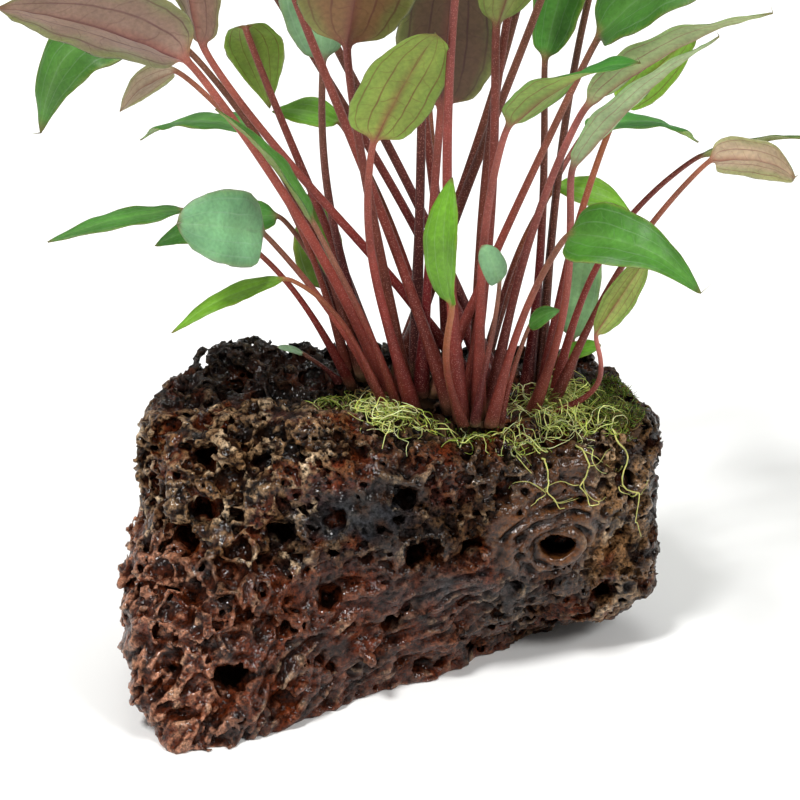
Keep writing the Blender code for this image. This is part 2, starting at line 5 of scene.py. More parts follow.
import bpy
import numpy as np
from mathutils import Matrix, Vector, noise
from mathutils.bvhtree import BVHTree

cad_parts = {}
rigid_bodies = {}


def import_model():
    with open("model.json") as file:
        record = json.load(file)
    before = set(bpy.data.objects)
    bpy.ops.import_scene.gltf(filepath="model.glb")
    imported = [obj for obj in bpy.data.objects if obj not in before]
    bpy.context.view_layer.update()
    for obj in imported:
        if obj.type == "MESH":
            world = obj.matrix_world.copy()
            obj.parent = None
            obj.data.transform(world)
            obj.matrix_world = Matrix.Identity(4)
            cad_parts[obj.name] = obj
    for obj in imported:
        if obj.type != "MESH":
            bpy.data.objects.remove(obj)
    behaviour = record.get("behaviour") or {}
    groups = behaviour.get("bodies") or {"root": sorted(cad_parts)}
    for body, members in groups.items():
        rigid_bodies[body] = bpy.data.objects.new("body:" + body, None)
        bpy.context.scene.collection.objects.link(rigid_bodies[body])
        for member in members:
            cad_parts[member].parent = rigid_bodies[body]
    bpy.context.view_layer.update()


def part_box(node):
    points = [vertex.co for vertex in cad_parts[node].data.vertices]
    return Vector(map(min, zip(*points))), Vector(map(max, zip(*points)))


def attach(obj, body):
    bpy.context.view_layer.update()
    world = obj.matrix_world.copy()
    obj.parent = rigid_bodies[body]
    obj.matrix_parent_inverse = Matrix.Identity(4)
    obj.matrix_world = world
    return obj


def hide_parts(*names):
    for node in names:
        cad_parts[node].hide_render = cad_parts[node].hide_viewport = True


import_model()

# A cryptocoryne with wine-red petioles that grows on a lump of lava.
# Lengths in the dictionaries are millimetres: X right, Y back, Z up, the origin under the stone.

mm = 0.001
scene = bpy.context.scene


# Small helpers

def linearColour(hexText):
    channels = [int(hexText[i:i + 2], 16) / 255 for i in (1, 3, 5)]
    return np.array([c / 12.92 if c <= 0.04045 else ((c + 0.055) / 1.055) ** 2.4 for c in channels])


def unit(v):
    return v / max(np.linalg.norm(v), 1e-9)


def unitRows(v):
    return v / np.maximum(np.linalg.norm(v, axis=-1, keepdims=True), 1e-9)


def smoothStep(low, high, x):
    t = np.clip((x - low) / (high - low), 0, 1)
    return t * t * (3 - 2 * t)


def deselectAll():
    bpy.ops.object.select_all(action="DESELECT")


def activate(obj):
    deselectAll()
    obj.select_set(True)
    bpy.context.view_layer.objects.active = obj


def applyModifiers(obj):
    activate(obj)
    for modifier in list(obj.modifiers):
        bpy.ops.object.modifier_apply(modifier=modifier.name)


def readRows(source, name):
    rows = np.zeros(len(source) * 3, np.float32)
    source.foreach_get(name, rows)
    return rows.reshape(-1, 3).astype(float)


def getPoints(mesh):
    return readRows(mesh.vertices, "co") / mm


def setPoints(mesh, points):
    mesh.vertices.foreach_set("co", (np.asarray(points) * mm).astype(np.float32).ravel())
    mesh.update()


def getNormals(mesh):
    return readRows(mesh.vertex_normals, "vector")


def paint(mesh, name, values):
    values = np.asarray(values, float)
    if values.ndim == 1:
        layer = mesh.attributes.new(name, "FLOAT", "POINT")
        layer.data.foreach_set("value", values.astype(np.float32))
    else:
        layer = mesh.attributes.new(name, "FLOAT_COLOR", "POINT")
        rows = np.concatenate([values, np.ones((len(values), 1))], axis=1)
        layer.data.foreach_set("color", rows.astype(np.float32).ravel())


def addNode(tree, kind, output, settings):
    # a setting is a property of the node, a socket's value or the output that a socket is linked to
    node = tree.nodes.new("ShaderNode" + kind)
    for name, value in settings.items():
        if isinstance(value, bpy.types.NodeSocket):
            tree.links.new(value, node.inputs[name])
        elif isinstance(name, str) and hasattr(node, name):
            setattr(node, name, value)
        else:
            node.inputs[name].default_value = value
    return node.outputs[output]


def readPlace(tree):
    return addNode(tree, "TexCoord", "Object", {})


def readPaint(tree, name, output="Fac"):
    return addNode(tree, "Attribute", output, {"attribute_name": name})


def noiseTexture(tree, place, size, detail, roughness=0.5):
    return addNode(tree, "TexNoise", "Fac", {
        "Scale": 1 / (size * mm), "Detail": detail, "Roughness": roughness, "Vector": place,
    })


def cellTexture(tree, place, size):
    return addNode(tree, "TexVoronoi", "Distance", {"Scale": 1 / (size * mm), "Vector": place})


def remap(tree, value, start, end, toStart=0, toEnd=1, curve="LINEAR"):
    return addNode(tree, "MapRange", "Result", {
        "interpolation_type": curve, "From Min": start, "From Max": end, "To Min": toStart, "To Max": toEnd,
        "Value": value,
    })


def mixColours(tree, a, b, share=1.0, kind="MULTIPLY"):
    return addNode(tree, "Mix", "Result", {
        "data_type": "RGBA", "blend_type": kind, "Factor": share, "A": a, "B": b,
    })


def calculate(tree, operation, *values):
    return addNode(tree, "Math", 0, {"operation": operation, **dict(enumerate(values))})


def addBump(tree, height, strength, distance):
    return addNode(tree, "Bump", "Normal", {
        "Strength": strength, "Distance": distance * mm, "Height": height,
    })


def wire(tree, shader, sources):
    for name, source in sources.items():
        tree.links.new(source, shader.inputs[name])


def newMaterial(name, settings):
    material = bpy.data.materials.new(name)
    material.use_nodes = True
    tree = material.node_tree
    shader = tree.nodes["Principled BSDF"]
    for socket, value in settings.items():
        shader.inputs[socket].default_value = value
    return material, tree, shader


def addObject(name, data):
    obj = bpy.data.objects.new(name, data)
    scene.collection.objects.link(obj)
    return obj


def finishPiece(obj, node, material):
    obj.data.materials.append(material)
    obj.data.shade_smooth()
    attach(obj, "root")
    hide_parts(node)


def nearest(tree, spot):
    near, normal = tree.find_nearest(Vector(spot) * mm)[:2]
    return np.array(near) / mm, np.array(normal)


def evened(rows):
    rows = rows.copy()
    rows[1:-1] = (rows[:-2] + 2 * rows[1:-1] + rows[2:]) / 4
    return rows


def blend(a, b, share):
    return a * (1 - share) + b * share


noiseDraw = np.random.default_rng(5)
noiseTable = np.tile(noiseDraw.permutation(256), 3)
noiseWays = unitRows(noiseDraw.normal(size=(256, 3))).astype(np.float32)


def waves(points, size, seed=0):
    # smooth noise between about -1 and 1 with lumps as wide as size
    p = np.asarray(points, np.float32) / size + seed * 7.31
    cell = np.floor(p).astype(np.int32)
    f = p - cell
    fade = f * f * f * (f * (f * 6 - 15) + 10)
    cell &= 255
    total = np.zeros(len(p), np.float32)
    for i in (0, 1):
        a = noiseTable[cell[:, 0] + i]
        x = fade[:, 0] if i else 1 - fade[:, 0]
        for j in (0, 1):
            b = noiseTable[a + cell[:, 1] + j]
            y = fade[:, 1] if j else 1 - fade[:, 1]
            for k in (0, 1):
                way = noiseWays[noiseTable[b + cell[:, 2] + k]]
                z = fade[:, 2] if k else 1 - fade[:, 2]
                total += x * y * z * ((f - np.array([i, j, k], np.float32)) * way).sum(1)
    return total * 1.6


# A tube with rings of points at heights 0, 1, 2 and so on, which stone and leaves are shaped from

def ringTube(name, sides, rings):
    deselectAll()
    bpy.ops.mesh.primitive_cylinder_add(vertices=sides, radius=1, depth=1,
                                        end_fill_type="TRIFAN", location=(0, 0, 0.5))
    tube = bpy.context.object
    tube.name = name
    bpy.ops.object.transform_apply(location=True, rotation=True, scale=True)
    bpy.ops.object.mode_set(mode="EDIT")
    bpy.ops.mesh.select_mode(type="FACE")
    bpy.ops.mesh.select_all(action="DESELECT")
    bpy.ops.object.mode_set(mode="OBJECT")
    for face in tube.data.polygons:
        face.select = face.center.z > 0.99
    bpy.ops.object.mode_set(mode="EDIT")
    for step in range(rings - 2):
        bpy.ops.mesh.extrude_region_move(TRANSFORM_OT_translate={"value": (0, 0, 1)})
    bpy.ops.object.mode_set(mode="OBJECT")
    # extruding leaves the faces in a chance order, so they are laid anew in a fixed one
    faces = []
    for face in tube.data.polygons:
        loop = list(face.vertices)
        first = loop.index(min(loop))
        faces.append(loop[first:] + loop[:first])
    mesh = bpy.data.meshes.new(name)
    mesh.from_pydata([tuple(vertex.co) for vertex in tube.data.vertices], [], sorted(faces))
    tube.data = mesh
    return tube


def tubeAddress(mesh, sides):
    points = getPoints(mesh) * mm
    ring = np.round(points[:, 2]).astype(int)
    turn = np.arctan2(points[:, 1], points[:, 0]) / (2 * math.pi) * sides
    side = np.round(turn).astype(int) % sides
    middle = np.hypot(points[:, 0], points[:, 1]) < 0.5
    return ring, side, middle


# Camera: the photograph looks a little down on the plant from the front

camera = {
    "target": (0, 0, 86),
    "distance": 900,
    "elevation": 22,
    "sensor": 36,
    "lens": 144.6,
}


def buildCamera():
    tilt = math.radians(camera["elevation"])
    back = Vector((0, -math.cos(tilt), math.sin(tilt)))
    data = bpy.data.cameras.new("camera")
    data.sensor_width = camera["sensor"]
    data.lens = camera["lens"]
    obj = addObject("camera", data)
    obj.location = (Vector(camera["target"]) + back * camera["distance"]) * mm
    obj.rotation_euler = (math.pi / 2 - tilt, 0, 0)
    scene.camera = obj
    print("camera placed")


# Lava stone: the cage of the solid, with its froth of bubbles cut out of a distance field

stone = {
    "outlines": {
        -8: [(44, 36), (50, 48), (40, 60), (0, 64), (-47, 56), (-62, 34),
             (-64, 6), (-67, -33), (-63, -55), (-36, -36), (-4, -10), (22, 15)],
        5: [(54, 32), (59, 47), (46, 61), (0, 66), (-48, 58), (-66, 35),
            (-67, 3), (-69, -34), (-66, -55), (-37, -37), (-4, -11), (28, 17)],
        16: [(77, 13), (72, 44), (52, 64), (2, 69), (-50, 61), (-70, 36),
             (-77, 2), (-80, -27), (-70, -47), (-38, -34), (-4, -15), (43, 8)],
        33: [(75, 14), (75, 44), (56, 66), (4, 71), (-53, 63), (-71, 38),
             (-75, 4), (-79, -21), (-63, -38), (-37, -30), (-6, -17), (44, -3)],
        49: [(74, 10), (73, 42), (60, 66), (4, 70), (-52, 62), (-70, 40),
             (-70, 8), (-65, -13), (-53, -22), (-30, -24), (-2, -20), (43, -5)],
        62: [(73, 13), (73, 42), (60, 66), (4, 69), (-54, 62), (-70, 41),
             (-73, 13), (-65, -5), (-48, -14), (-27, -17), (0, -18), (43, -6)],
    },
    "rim": [(71, 18, 68), (70, 42, 73), (58, 64, 78), (4, 62, 80), (-50, 58, 86), (-65, 40, 83),
            (-70, 17, 75), (-62, 3, 75), (-42, -5, 78), (-23, -11, 80), (0, -13, 76), (39, 1, 67)],
    "top": [(50, 22, 71), (50, 38, 75), (40, 50, 77), (4, 48, 77), (-32, 46, 83), (-46, 36, 80),
            (-48, 22, 76), (-42, 12, 77), (-28, 4, 78), (-15, 0, 79), (2, -2, 76), (30, 7, 72)],
    "topCentre": (2, 24, 76),
    "bottomCentre": (-4, 12, -8),
    "grow": 1.02,
    "levels": 3,
    "margin": 6.0,
    "coarseStep": 3.0,
    "fineStep": 0.72,
    "quickStep": 2.2,
    "joinSteps": 14,
    "faces": 194000,
    "seed": 11,
}
# Big pits by the side they are aimed from: two places on that side, radius and the share that is sunk
pits = {
    "front": [
        (-55, 71, 4.2, 0.8), (-39, 72, 3.6, 0.8), (-61, 50, 5.4, 0.7), (-33, 53, 4.4, 0.6),
        (6, 45, 5.0, 0.6), (20, 46, 4.4, 0.6), (29, 61, 3.0, 0.9), (-47, 18, 5.2, 0.6),
        (-65, 39, 3.2, 0.9), (-55, 58, 3.8, 0.8), (58, 22, 4.0, 0.7), (-18, 58, 3.6, 0.6),
        (-20, 36, 3.8, 0.5), (2, 62, 3.6, 0.6), (32, 30, 3.8, 0.5), (-2, 24, 3.8, 0.5),
        (64, 58, 3.6, 0.6), (-33, 10, 3.6, 0.5), (64, 40, 3.4, 0.5),
    ],
    "right": [
        (34, 52, 5.4, 0.7), (50, 32, 4.6, 0.8), (22, 28, 4.4, 0.5), (56, 60, 4.0, 0.5),
    ],
    "back": [
        (30, 50, 5.6, 0.7), (-8, 38, 5.2, 0.8), (-38, 56, 5.6, 0.6), (8, 62, 4.6, 0.5),
        (46, 26, 4.8, 0.5), (-34, 22, 4.8, 0.5),
    ],
    "left": [
        (20, 46, 5.6, 0.7), (44, 60, 4.6, 0.8), (36, 24, 4.8, 0.5), (-12, 26, 4.6, 0.5),
        (8, 66, 4.2, 0.5),
    ],
    "top": [
        (-50, 30, 5.2, 0.7), (-34, 50, 5.0, 0.6), (56, 52, 4.6, 0.5),
    ],
}
# The axis that each side is aimed along, and where the aim starts
aims = {"front": (1, -300), "right": (0, 300), "back": (1, 300), "left": (0, -300), "top": (2, 300)}
# Bubble sizes: how many, smallest and largest radius
froth = [(70, 2.4, 3.8), (650, 1.4, 2.4), (4200, 0.8, 1.4)]
# The way that the molten stone flowed: how far to the right and how far up
flowOut, flowUp = 0.93, 0.36
# The oval hole at the right: how much wider than high it is, and the radii of its lip, roll and hole
eye = {
    "centre": (45, -1, 43), "inward": (0.1, 1, -0.1), "wide": 1.5, "lip": 4.3, "roll": 1.5, "hole": 3.3,
    "depth": 13, "reach": 16,
}
# Foam: its zone, width of the cells, how deep they sink and seed
foam = [("coarse", 8.5, 5.0, 3), ("coarse", 4.4, 2.6, 9), ("fine", 4.0, 2.2, 6)]


def stoneRelief(p):
    lumps = 3.2 * noise.noise(p / 30) + 2.6 * noise.noise(p / 13 + Vector((5, 1, 9)))
    crags = 2.4 * (0.5 - abs(noise.noise(p / 9 + Vector((2, 7, 4)))) * 2)
    along, across = flowOut * p.x + flowUp * p.z, flowOut * p.z - flowUp * p.x
    flow = noise.noise(Vector((along / 36, across / 8, p.y / 40 + 3)))
    low = min(max((60 - p.z) / 30, 0), 1)
    return lumps + crags + low * (1.6 - 5 * abs(flow))


def stoneCage():
    levels = stone["outlines"]
    sides = len(stone["rim"])
    cage = ringTube("stoneCage", sides, len(levels) + 2)
    ring, side, middle = tubeAddress(cage.data, sides)
    centre = np.array(stone["topCentre"], float)
    outlines = [[(x, y, height) for x, y in outline] for height, outline in levels.items()]
    rows = np.array([*outlines, stone["rim"]], float)
    rows[:, :, :2] = centre[:2] + (rows[:, :, :2] - centre[:2]) * stone["grow"]
    places = np.array([*rows, stone["top"]])
    points = places[ring, side]
    points[middle & (ring == 0)] = stone["bottomCentre"]
    points[middle & (ring > 0)] = stone["topCentre"]
    setPoints(cage.data, points)
    smooth = cage.modifiers.new("round", "SUBSURF")
    smooth.levels = smooth.render_levels = stone["levels"]
    applyModifiers(cage)
    points, normals = getPoints(cage.data), getNormals(cage.data)
    relief = np.array([stoneRelief(Vector(p)) for p in points])
    setPoints(cage.data, points + normals * relief[:, None])
    return cage


def zoneShares(points):
    x, y, z = points.T
    wander = waves(points, 20, 3) * 9
    low = smoothStep(54, 34, z + wander + 0.10 * x) * (1 - 0.8 * smoothStep(10, 32, x + wander))
    blob = np.sqrt(((x - 43 + wander * 0.7) / 18) ** 2 + ((z - 50 + wander * 0.5) / 16) ** 2)
    right = smoothStep(1.2, 0.75, blob) * smoothStep(30, 10, y)
    dark = smoothStep(71, 78, z + wander * 0.3) * smoothStep(4, 20, y + wander)
    dark = np.maximum(dark, smoothStep(56, 66, x + wander) * (1 - 0.5 * low))
    smoky = np.exp(-((x + 12 + wander) / 19) ** 2 - ((z - 58 + wander * 0.4) / 11) ** 2)
    smoky = np.maximum(smoky, 0.8 * np.exp(-((x - 20) / 24) ** 2 - ((z - 33 + wander * 0.5) / 6) ** 2))
    return low, right, dark, np.clip(smoky * (y < 10) * 1.3, 0, 1)


def foamCells(points, size, seed):
    # how much nearer the nearest of scattered cell middles is than the next, and that cell's own number
    place = (points / size).astype(np.float32)
    base = np.floor(place).astype(np.int64)
    near = np.full(len(points), 9.0, np.float32)
    second = near.copy()
    own = np.zeros(len(points), np.float32)
    for shift in np.ndindex(3, 3, 3):
        cell = base + (np.array(shift) - 1)
        mixed = noiseTable[(cell[:, 0] + seed) % 256]
        mixed = noiseTable[(mixed + cell[:, 1]) % 256]
        mixed = noiseTable[(mixed + cell[:, 2]) % 256]
        away = np.linalg.norm(place - cell - 0.5 - 0.42 * noiseWays[mixed], axis=1).astype(np.float32)
        closer = away < near
        second = np.where(closer, near, np.minimum(second, away))
        own[closer] = mixed[closer] / 255
        near = np.minimum(near, away)
    return (second - near) * size, own


def stoneField(cage):
    tree = BVHTree.FromObject(cage, bpy.context.evaluated_depsgraph_get())
    points = getPoints(cage.data)
    low, high = points.min(0) - stone["margin"], points.max(0) + stone["margin"]
    low[2] = -stone["margin"]
    step = stone["coarseStep"]
    axes = [np.arange(low[k], high[k] + step, step) for k in range(3)]
    coarse = np.zeros([len(axis) for axis in axes], np.float32)
    for i, x in enumerate(axes[0]):
        for j, y in enumerate(axes[1]):
            for k, z in enumerate(axes[2]):
                spot = Vector((x, y, z)) * mm
                near, normal, face, distance = tree.find_nearest(spot)
                side = 1 if (spot - near).dot(normal) > 0 else -1
                coarse[i, j, k] = side * distance / mm
    fine = stone["fineStep"]
    fineAxes = [np.arange(axis[0] + 0.01, axis[-1] - 0.01, fine) for axis in axes]
    field = coarse
    for k, (axis, fineAxis) in enumerate(zip(axes, fineAxes)):
        place = (fineAxis - axis[0]) / step
        index = np.minimum(place.astype(int), len(axis) - 2)
        share = (place - index).astype(np.float32)
        shape = [1, 1, 1]
        shape[k] = -1
        share = share.reshape(shape)
        field = np.take(field, index, k) * (1 - share) + np.take(field, index + 1, k) * share
    return tree, field, fineAxes, fine


def gridSpots(axes):
    grid = np.meshgrid(*axes, indexing="ij")
    return grid, np.stack([part.ravel() for part in grid], axis=1)


def carveBubble(field, axes, step, centre, radius, long, stretch):
    reach = radius * max(stretch, 1) * (1.3 if radius > 2 else 1) + step
    spans = []
    for k in range(3):
        first = max(int((centre[k] - reach - axes[k][0]) / step), 0)
        spans.append(slice(first, int((centre[k] + reach - axes[k][0]) / step) + 2))
    x, y, z = (axes[k][spans[k]] - centre[k] for k in range(3))
    x, y, z = x[:, None, None], y[None, :, None], z[None, None, :]
    along = x * long[0] + y * long[1] + z * long[2]
    square = x * x + y * y + z * z + along * along * (1 / stretch**2 - 1)
    block = field[tuple(spans)]
    if radius > 2:
        spots = gridSpots([axes[k][spans[k]] for k in range(3)])[1]
        radius = radius * (1.06 - 0.85 * np.abs(waves(spots, radius * 1.7, 41)).reshape(block.shape)
                           + 0.3 * waves(spots, radius, 42).reshape(block.shape))
    np.maximum(block, radius - np.sqrt(np.maximum(square, 0)), out=block)


def roughenField(field, axes):
    shell = np.argwhere(np.abs(field) < 4.5)
    points = np.stack([axes[k][shell[:, k]] for k in range(3)], axis=1)
    low, right, dark, smoky = zoneShares(points)
    x, y, z = points.T
    steep = smoothStep(-22, -46, x)
    along = flowOut * x + flowUp * z + 0.5 * steep * (z - 30)
    across = flowOut * z - flowUp * x + steep * 0.95 * (-22 - x) + waves(points, 12, 6) * 2.6
    flow = np.stack([along / 11, across, y / 2.2], axis=1)
    bend = 5 * np.stack([waves(points, 15, 7), waves(points, 15, 8), waves(points, 15, 9)], axis=1)
    hole = points - np.array(eye["centre"])
    ringPlace = np.sqrt((hole[:, 0] / 1.4) ** 2 + hole[:, 2] ** 2) + waves(points, 11, 12) * 1.4
    rings = np.sin(ringPlace * 2 * math.pi / 3.3) * smoothStep(20, 11, ringPlace) * (hole[:, 1] < 14)
    rough = (1 - low) * (1 - np.maximum(right, smoky * 0.6))
    coarse = smoothStep(-16, -32, x + waves(points, 20, 3) * 9) * smoothStep(22, 36, z)
    zones = {"coarse": coarse, "fine": rough * (1 - coarse)}

    def crease(place, width, seed):
        return np.abs(waves(place, width, seed))

    strands, ropes, threads = crease(flow, 2.9, 1), crease(flow, 6.5, 2), crease(flow, 1.5, 10)
    crumbs = crease(points, 4.6, 4) + 0.7 * crease(points, 2.4, 5)
    grit, swirl = crease(points, 1.6, 13), crease((points + bend) * (0.3, 0.5, 1.0), 3.0, 3)
    outward = (
        0.35
        + low * (3.2 * (0.2 - strands) + 2.8 * (0.22 - ropes) + 1.5 * (0.2 - threads))
        + rough * (1.9 * (0.38 - crumbs) + 1.3 * (0.2 - grit))
        + right * (2.0 * (0.2 - swirl) + 0.8 * rings)
    )
    for zone, width, sink, seed in foam:
        chosen = np.flatnonzero(zones[zone] > 0.02)
        wall, own = foamCells((points[chosen] + 0.5 * bend[chosen]) * (1, 1, 1.25), width, seed)
        hollow = smoothStep(0.03, 0.24, wall / width) * (0.1 + 0.9 * smoothStep(0.2, 0.7, own))
        outward[chosen] += zones[zone][chosen] * sink * (0.4 - hollow)
    field[tuple(shell.T)] -= outward.astype(np.float32)


def frothField(field, axes, step, cage, tree):
    draw = np.random.default_rng(stone["seed"])
    mesh = cage.data
    areas = np.array([face.area for face in mesh.polygons])
    centres = np.array([face.center for face in mesh.polygons]) / mm
    normals = np.array([face.normal for face in mesh.polygons])
    for count, smallest, largest in froth:
        picks = draw.choice(len(areas), count, p=areas / areas.sum())
        spots = centres[picks] + draw.normal(0, 1.3, (count, 3))
        low, right, dark, smoky = zoneShares(spots)
        for n in range(count):
            crowd = 1 - 0.8 * smoky[n] - 0.8 * right[n] - 0.55 * low[n]
            if spots[n][2] < 1 or draw.random() > crowd:
                continue
            radius = smallest + (largest - smallest) * draw.random() ** 1.6
            way = unit(draw.normal(size=3))
            stretch = 1 + 0.5 * draw.random()
            if draw.random() < low[n]:
                way = unit(np.array([flowOut, 0.0, flowUp]) + 0.3 * way)
                stretch = 1.5 + 1.6 * draw.random()
                radius *= 0.85
            sink = radius * (0.2 + 0.65 * draw.random())
            place = nearest(tree, spots[n])[0] - normals[picks[n]] * sink
            carveBubble(field, axes, step, place, radius, way, stretch)


def pitField(field, axes, step, tree):
    long = unit(np.array([1, 0.1, -0.15]))
    for side, rows in pits.items():
        axis, far = aims[side]
        direction = np.zeros(3)
        direction[axis] = -math.copysign(1, far)
        for a, b, radius, depth in rows:
            start = [a, b]
            start.insert(axis, far)
            hit, normal = tree.ray_cast(Vector(start) * mm, Vector(direction))[:2]
            centre = np.array(hit / mm + normal * radius * (1 - depth))
            inward = unit(direction - np.array(normal))
            carveBubble(field, axes, step, centre, radius * 1.05, long, 1.2)
            carveBubble(field, axes, step, centre + inward * radius * 0.9, radius * 0.95, long, 1.1)
            for k in range(5):
                turn = 1.3 * k + a
                shift = np.array([math.cos(turn), 0.3 * math.sin(3 * turn), math.sin(turn)]) * radius * 0.8
                place = centre + shift + inward * radius * 0.3
                carveBubble(field, axes, step, place, radius * 0.38, long, 1.2)


def eyeField(field, axes, tree):
    # the wide oval hole at the right has a thick lip of once molten stone round it
    inward = unit(np.array(eye["inward"]))
    start = Vector(np.array(eye["centre"]) - inward * 60)
    centre = np.array(tree.ray_cast(start * mm, Vector(inward))[0]) / mm
    spans = [np.abs(axes[k] - centre[k]) < eye["reach"] for k in range(3)]
    cut = np.ix_(*spans)
    grid, spots = gridSpots([axes[k][spans[k]] - centre[k] for k in range(3)])
    sunk = sum(g * w for g, w in zip(grid, inward))
    away = np.sqrt(((grid[0] - sunk * inward[0]) / eye["wide"]) ** 2 + (grid[2] - sunk * inward[2]) ** 2)
    away += 0.5 * waves(spots, 6, 44).reshape(away.shape)
    lip = np.sqrt((away - eye["lip"]) ** 2 + ((sunk + 0.5) / 1.3) ** 2)
    lip -= eye["roll"] * (1 + 0.7 * waves(spots, 7, 43).reshape(away.shape))
    shaft = eye["hole"] * (1 + 0.35 * np.clip(sunk / 8, 0, 1)) - away
    shaft = np.where((sunk > -6) & (sunk < eye["depth"]), shaft, -5)
    field[cut] = np.maximum(np.minimum(field[cut], lip), shaft)


def closeCorners(field):
    # two cells that would touch along one edge are joined, so each edge keeps two faces
    near, far = slice(0, -1), slice(1, None)
    corners = [(slice(None), a, b) for a, b in ((near, near), (far, near), (far, far), (near, far))]
    for step in range(stone["joinSteps"]):
        inside, changed = field < 0, 0
        for axis in range(3):
            turned, sides = np.moveaxis(field, axis, 0), np.moveaxis(inside, axis, 0)
            s = [sides[corner] for corner in corners]
            crossed = (s[0] == s[2]) & (s[1] == s[3]) & (s[0] != s[1])
            changed += int(crossed.sum())
            for corner in corners:
                block = turned[corner]
                block[crossed & (block >= 0)] = -0.05
        if changed == 0:
            break


def surfaceNet(field, axes, step):
    inside = field < 0
    corners = np.array(list(np.ndindex(2, 2, 2)))
    x, y, z = np.array(inside.shape) - 1
    count = sum(inside[i:x + i, j:y + j, k:z + k].astype(np.int8) for i, j, k in corners)
    cells = np.argwhere((count > 0) & (count < 8))
    index = np.full(count.shape, -1, np.int64)
    index[tuple(cells.T)] = np.arange(len(cells))
    values = np.stack([field[tuple((cells + c).T)] for c in corners], axis=1)
    total, hits = np.zeros((len(cells), 3)), np.zeros(len(cells))
    for a in range(8):
        for b in range(a + 1, 8):
            if np.abs(corners[a] - corners[b]).sum() != 1:
                continue
            cross = (values[:, a] < 0) != (values[:, b] < 0)
            share = values[cross, a] / (values[cross, a] - values[cross, b])
            total[cross] += corners[a] + share[:, None] * (corners[b] - corners[a])
            hits[cross] += 1
    points = (cells + total / hits[:, None]) * step + np.array([axis[0] for axis in axes])
    quads, ways = [], np.eye(3, dtype=int)
    for axis in range(3):
        edges = np.argwhere(np.diff(inside, axis=axis))
        outward = inside[tuple(edges.T)]
        a, b = ways[(axis + 1) % 3], ways[(axis + 2) % 3]
        around = [edges - a - b, edges - b, edges, edges - a]
        quad = np.stack([index[tuple(place.T)] for place in around], axis=1)
        quad[~outward] = quad[~outward][:, ::-1]
        quads.append(quad)
    return points, np.concatenate(quads)


def vertexAverage(mesh, values, passes):
    edges = np.zeros(len(mesh.edges) * 2, np.int32)
    mesh.edges.foreach_get("vertices", edges)
    a, b = edges.reshape(-1, 2).T
    size = len(mesh.vertices)
    count = np.maximum(np.bincount(a, minlength=size) + np.bincount(b, minlength=size), 1)
    result = np.array(values, float)
    for step in range(passes):
        total = np.stack([np.bincount(a, result[b, k], size) + np.bincount(b, result[a, k], size)
                          for k in range(result.shape[1])], axis=1)
        result = total / count[:, None]
    return result


def buildStone():
    cage = stoneCage()
    tree, field, axes, step = stoneField(cage)
    roughenField(field, axes)
    frothField(field, axes, step, cage, tree)
    pitField(field, axes, step, tree)
    eyeField(field, axes, tree)
    field[:] = np.maximum(field, -axes[2][None, None, :])
    soft = field.copy()
    for axis in range(3):
        soft = (np.roll(soft, 1, axis) + 2 * soft + np.roll(soft, -1, axis)) / 4
    field = 0.7 * field + 0.3 * soft
    closeCorners(field)
    points, quads = surfaceNet(field, axes, step)
    mesh = bpy.data.meshes.new("lavaStone")
    mesh.from_pydata([tuple(p) for p in points * mm], [], quads.tolist())
    obj = addObject("lavaStone", mesh)
    bpy.data.objects.remove(cage)
    keepBody(obj)
    triangles = 2 * len(mesh.polygons)
    if triangles > stone["faces"]:
        fewer = obj.modifiers.new("fewer", "DECIMATE")
        fewer.ratio = stone["faces"] / triangles
        applyModifiers(obj)
    mesh = obj.data
    points = getPoints(mesh)
    points = 0.85 * points + 0.15 * vertexAverage(mesh, points, 1)
    setPoints(mesh, points)
    normals = getNormals(mesh)
    fine = 0.3 - 1.2 * np.abs(waves(points, 1.7, 21)) + 0.5 * waves(points, 2.8, 22)
    low, right, dark, smoky = zoneShares(points)
    fine *= (1 - 0.65 * right) * (1 - 0.3 * low) * smoothStep(0.2, 3, points[:, 2])
    points = points + normals * fine[:, None]
    points[:, 2] = np.maximum(points[:, 2], 0)
    setPoints(mesh, points)
    crest = ((points - vertexAverage(mesh, points, 3)) * getNormals(mesh)).sum(1)
    depth = np.zeros(len(points))
    for n, point in enumerate(points):
        near, normal = nearest(tree, point)
        depth[n] = (near - point).dot(normal)
    paintStone(mesh, points, (low, right, dark, smoky), depth, np.clip(crest / 0.45, -1, 1))
    finishPiece(obj, "lava_stone", lavaMaterial())
    print("lava stone:", sum(len(face.vertices) - 2 for face in mesh.polygons), "triangles")
    return obj


def keepBody(obj):
    # crumbs that the bubbles cut loose are taken away
    activate(obj)
    mesh = obj.data
    for parts in (mesh.polygons, mesh.edges, mesh.vertices):
        parts.foreach_set("select", np.zeros(len(parts), bool))
    mesh.vertices[int(np.argmin(getPoints(mesh)[:, 1]))].select = True
    bpy.ops.object.mode_set(mode="EDIT")
    bpy.ops.mesh.select_mode(type="VERT")
    bpy.ops.mesh.select_linked()
    bpy.ops.mesh.select_all(action="INVERT")
    bpy.ops.mesh.delete(type="VERT")
    bpy.ops.object.mode_set(mode="OBJECT")


stoneColours = {
    "plain": "#2a170b",
    "rust": "#511f09",
    "low": "#461a06",
    "right": "#371b06",
    "dark": "#120c0a",
    "smoky": "#242427",
    # ochre, dust, cream and crestLow go on the crests: partly the stone's own tan and dust, partly painted
    # highlight
    "ochre": "#87633f",
    "dustAndHighlight": "#a78d6e",
    "cream": "#cbb08e",
    "crestLow": "#a8745a",
    "orange": "#6a2c0a",
    "gold": "#54300f",
    # hollow: near black, a painted shade for the pits and concave spots
    "hollow": "#060302",
}


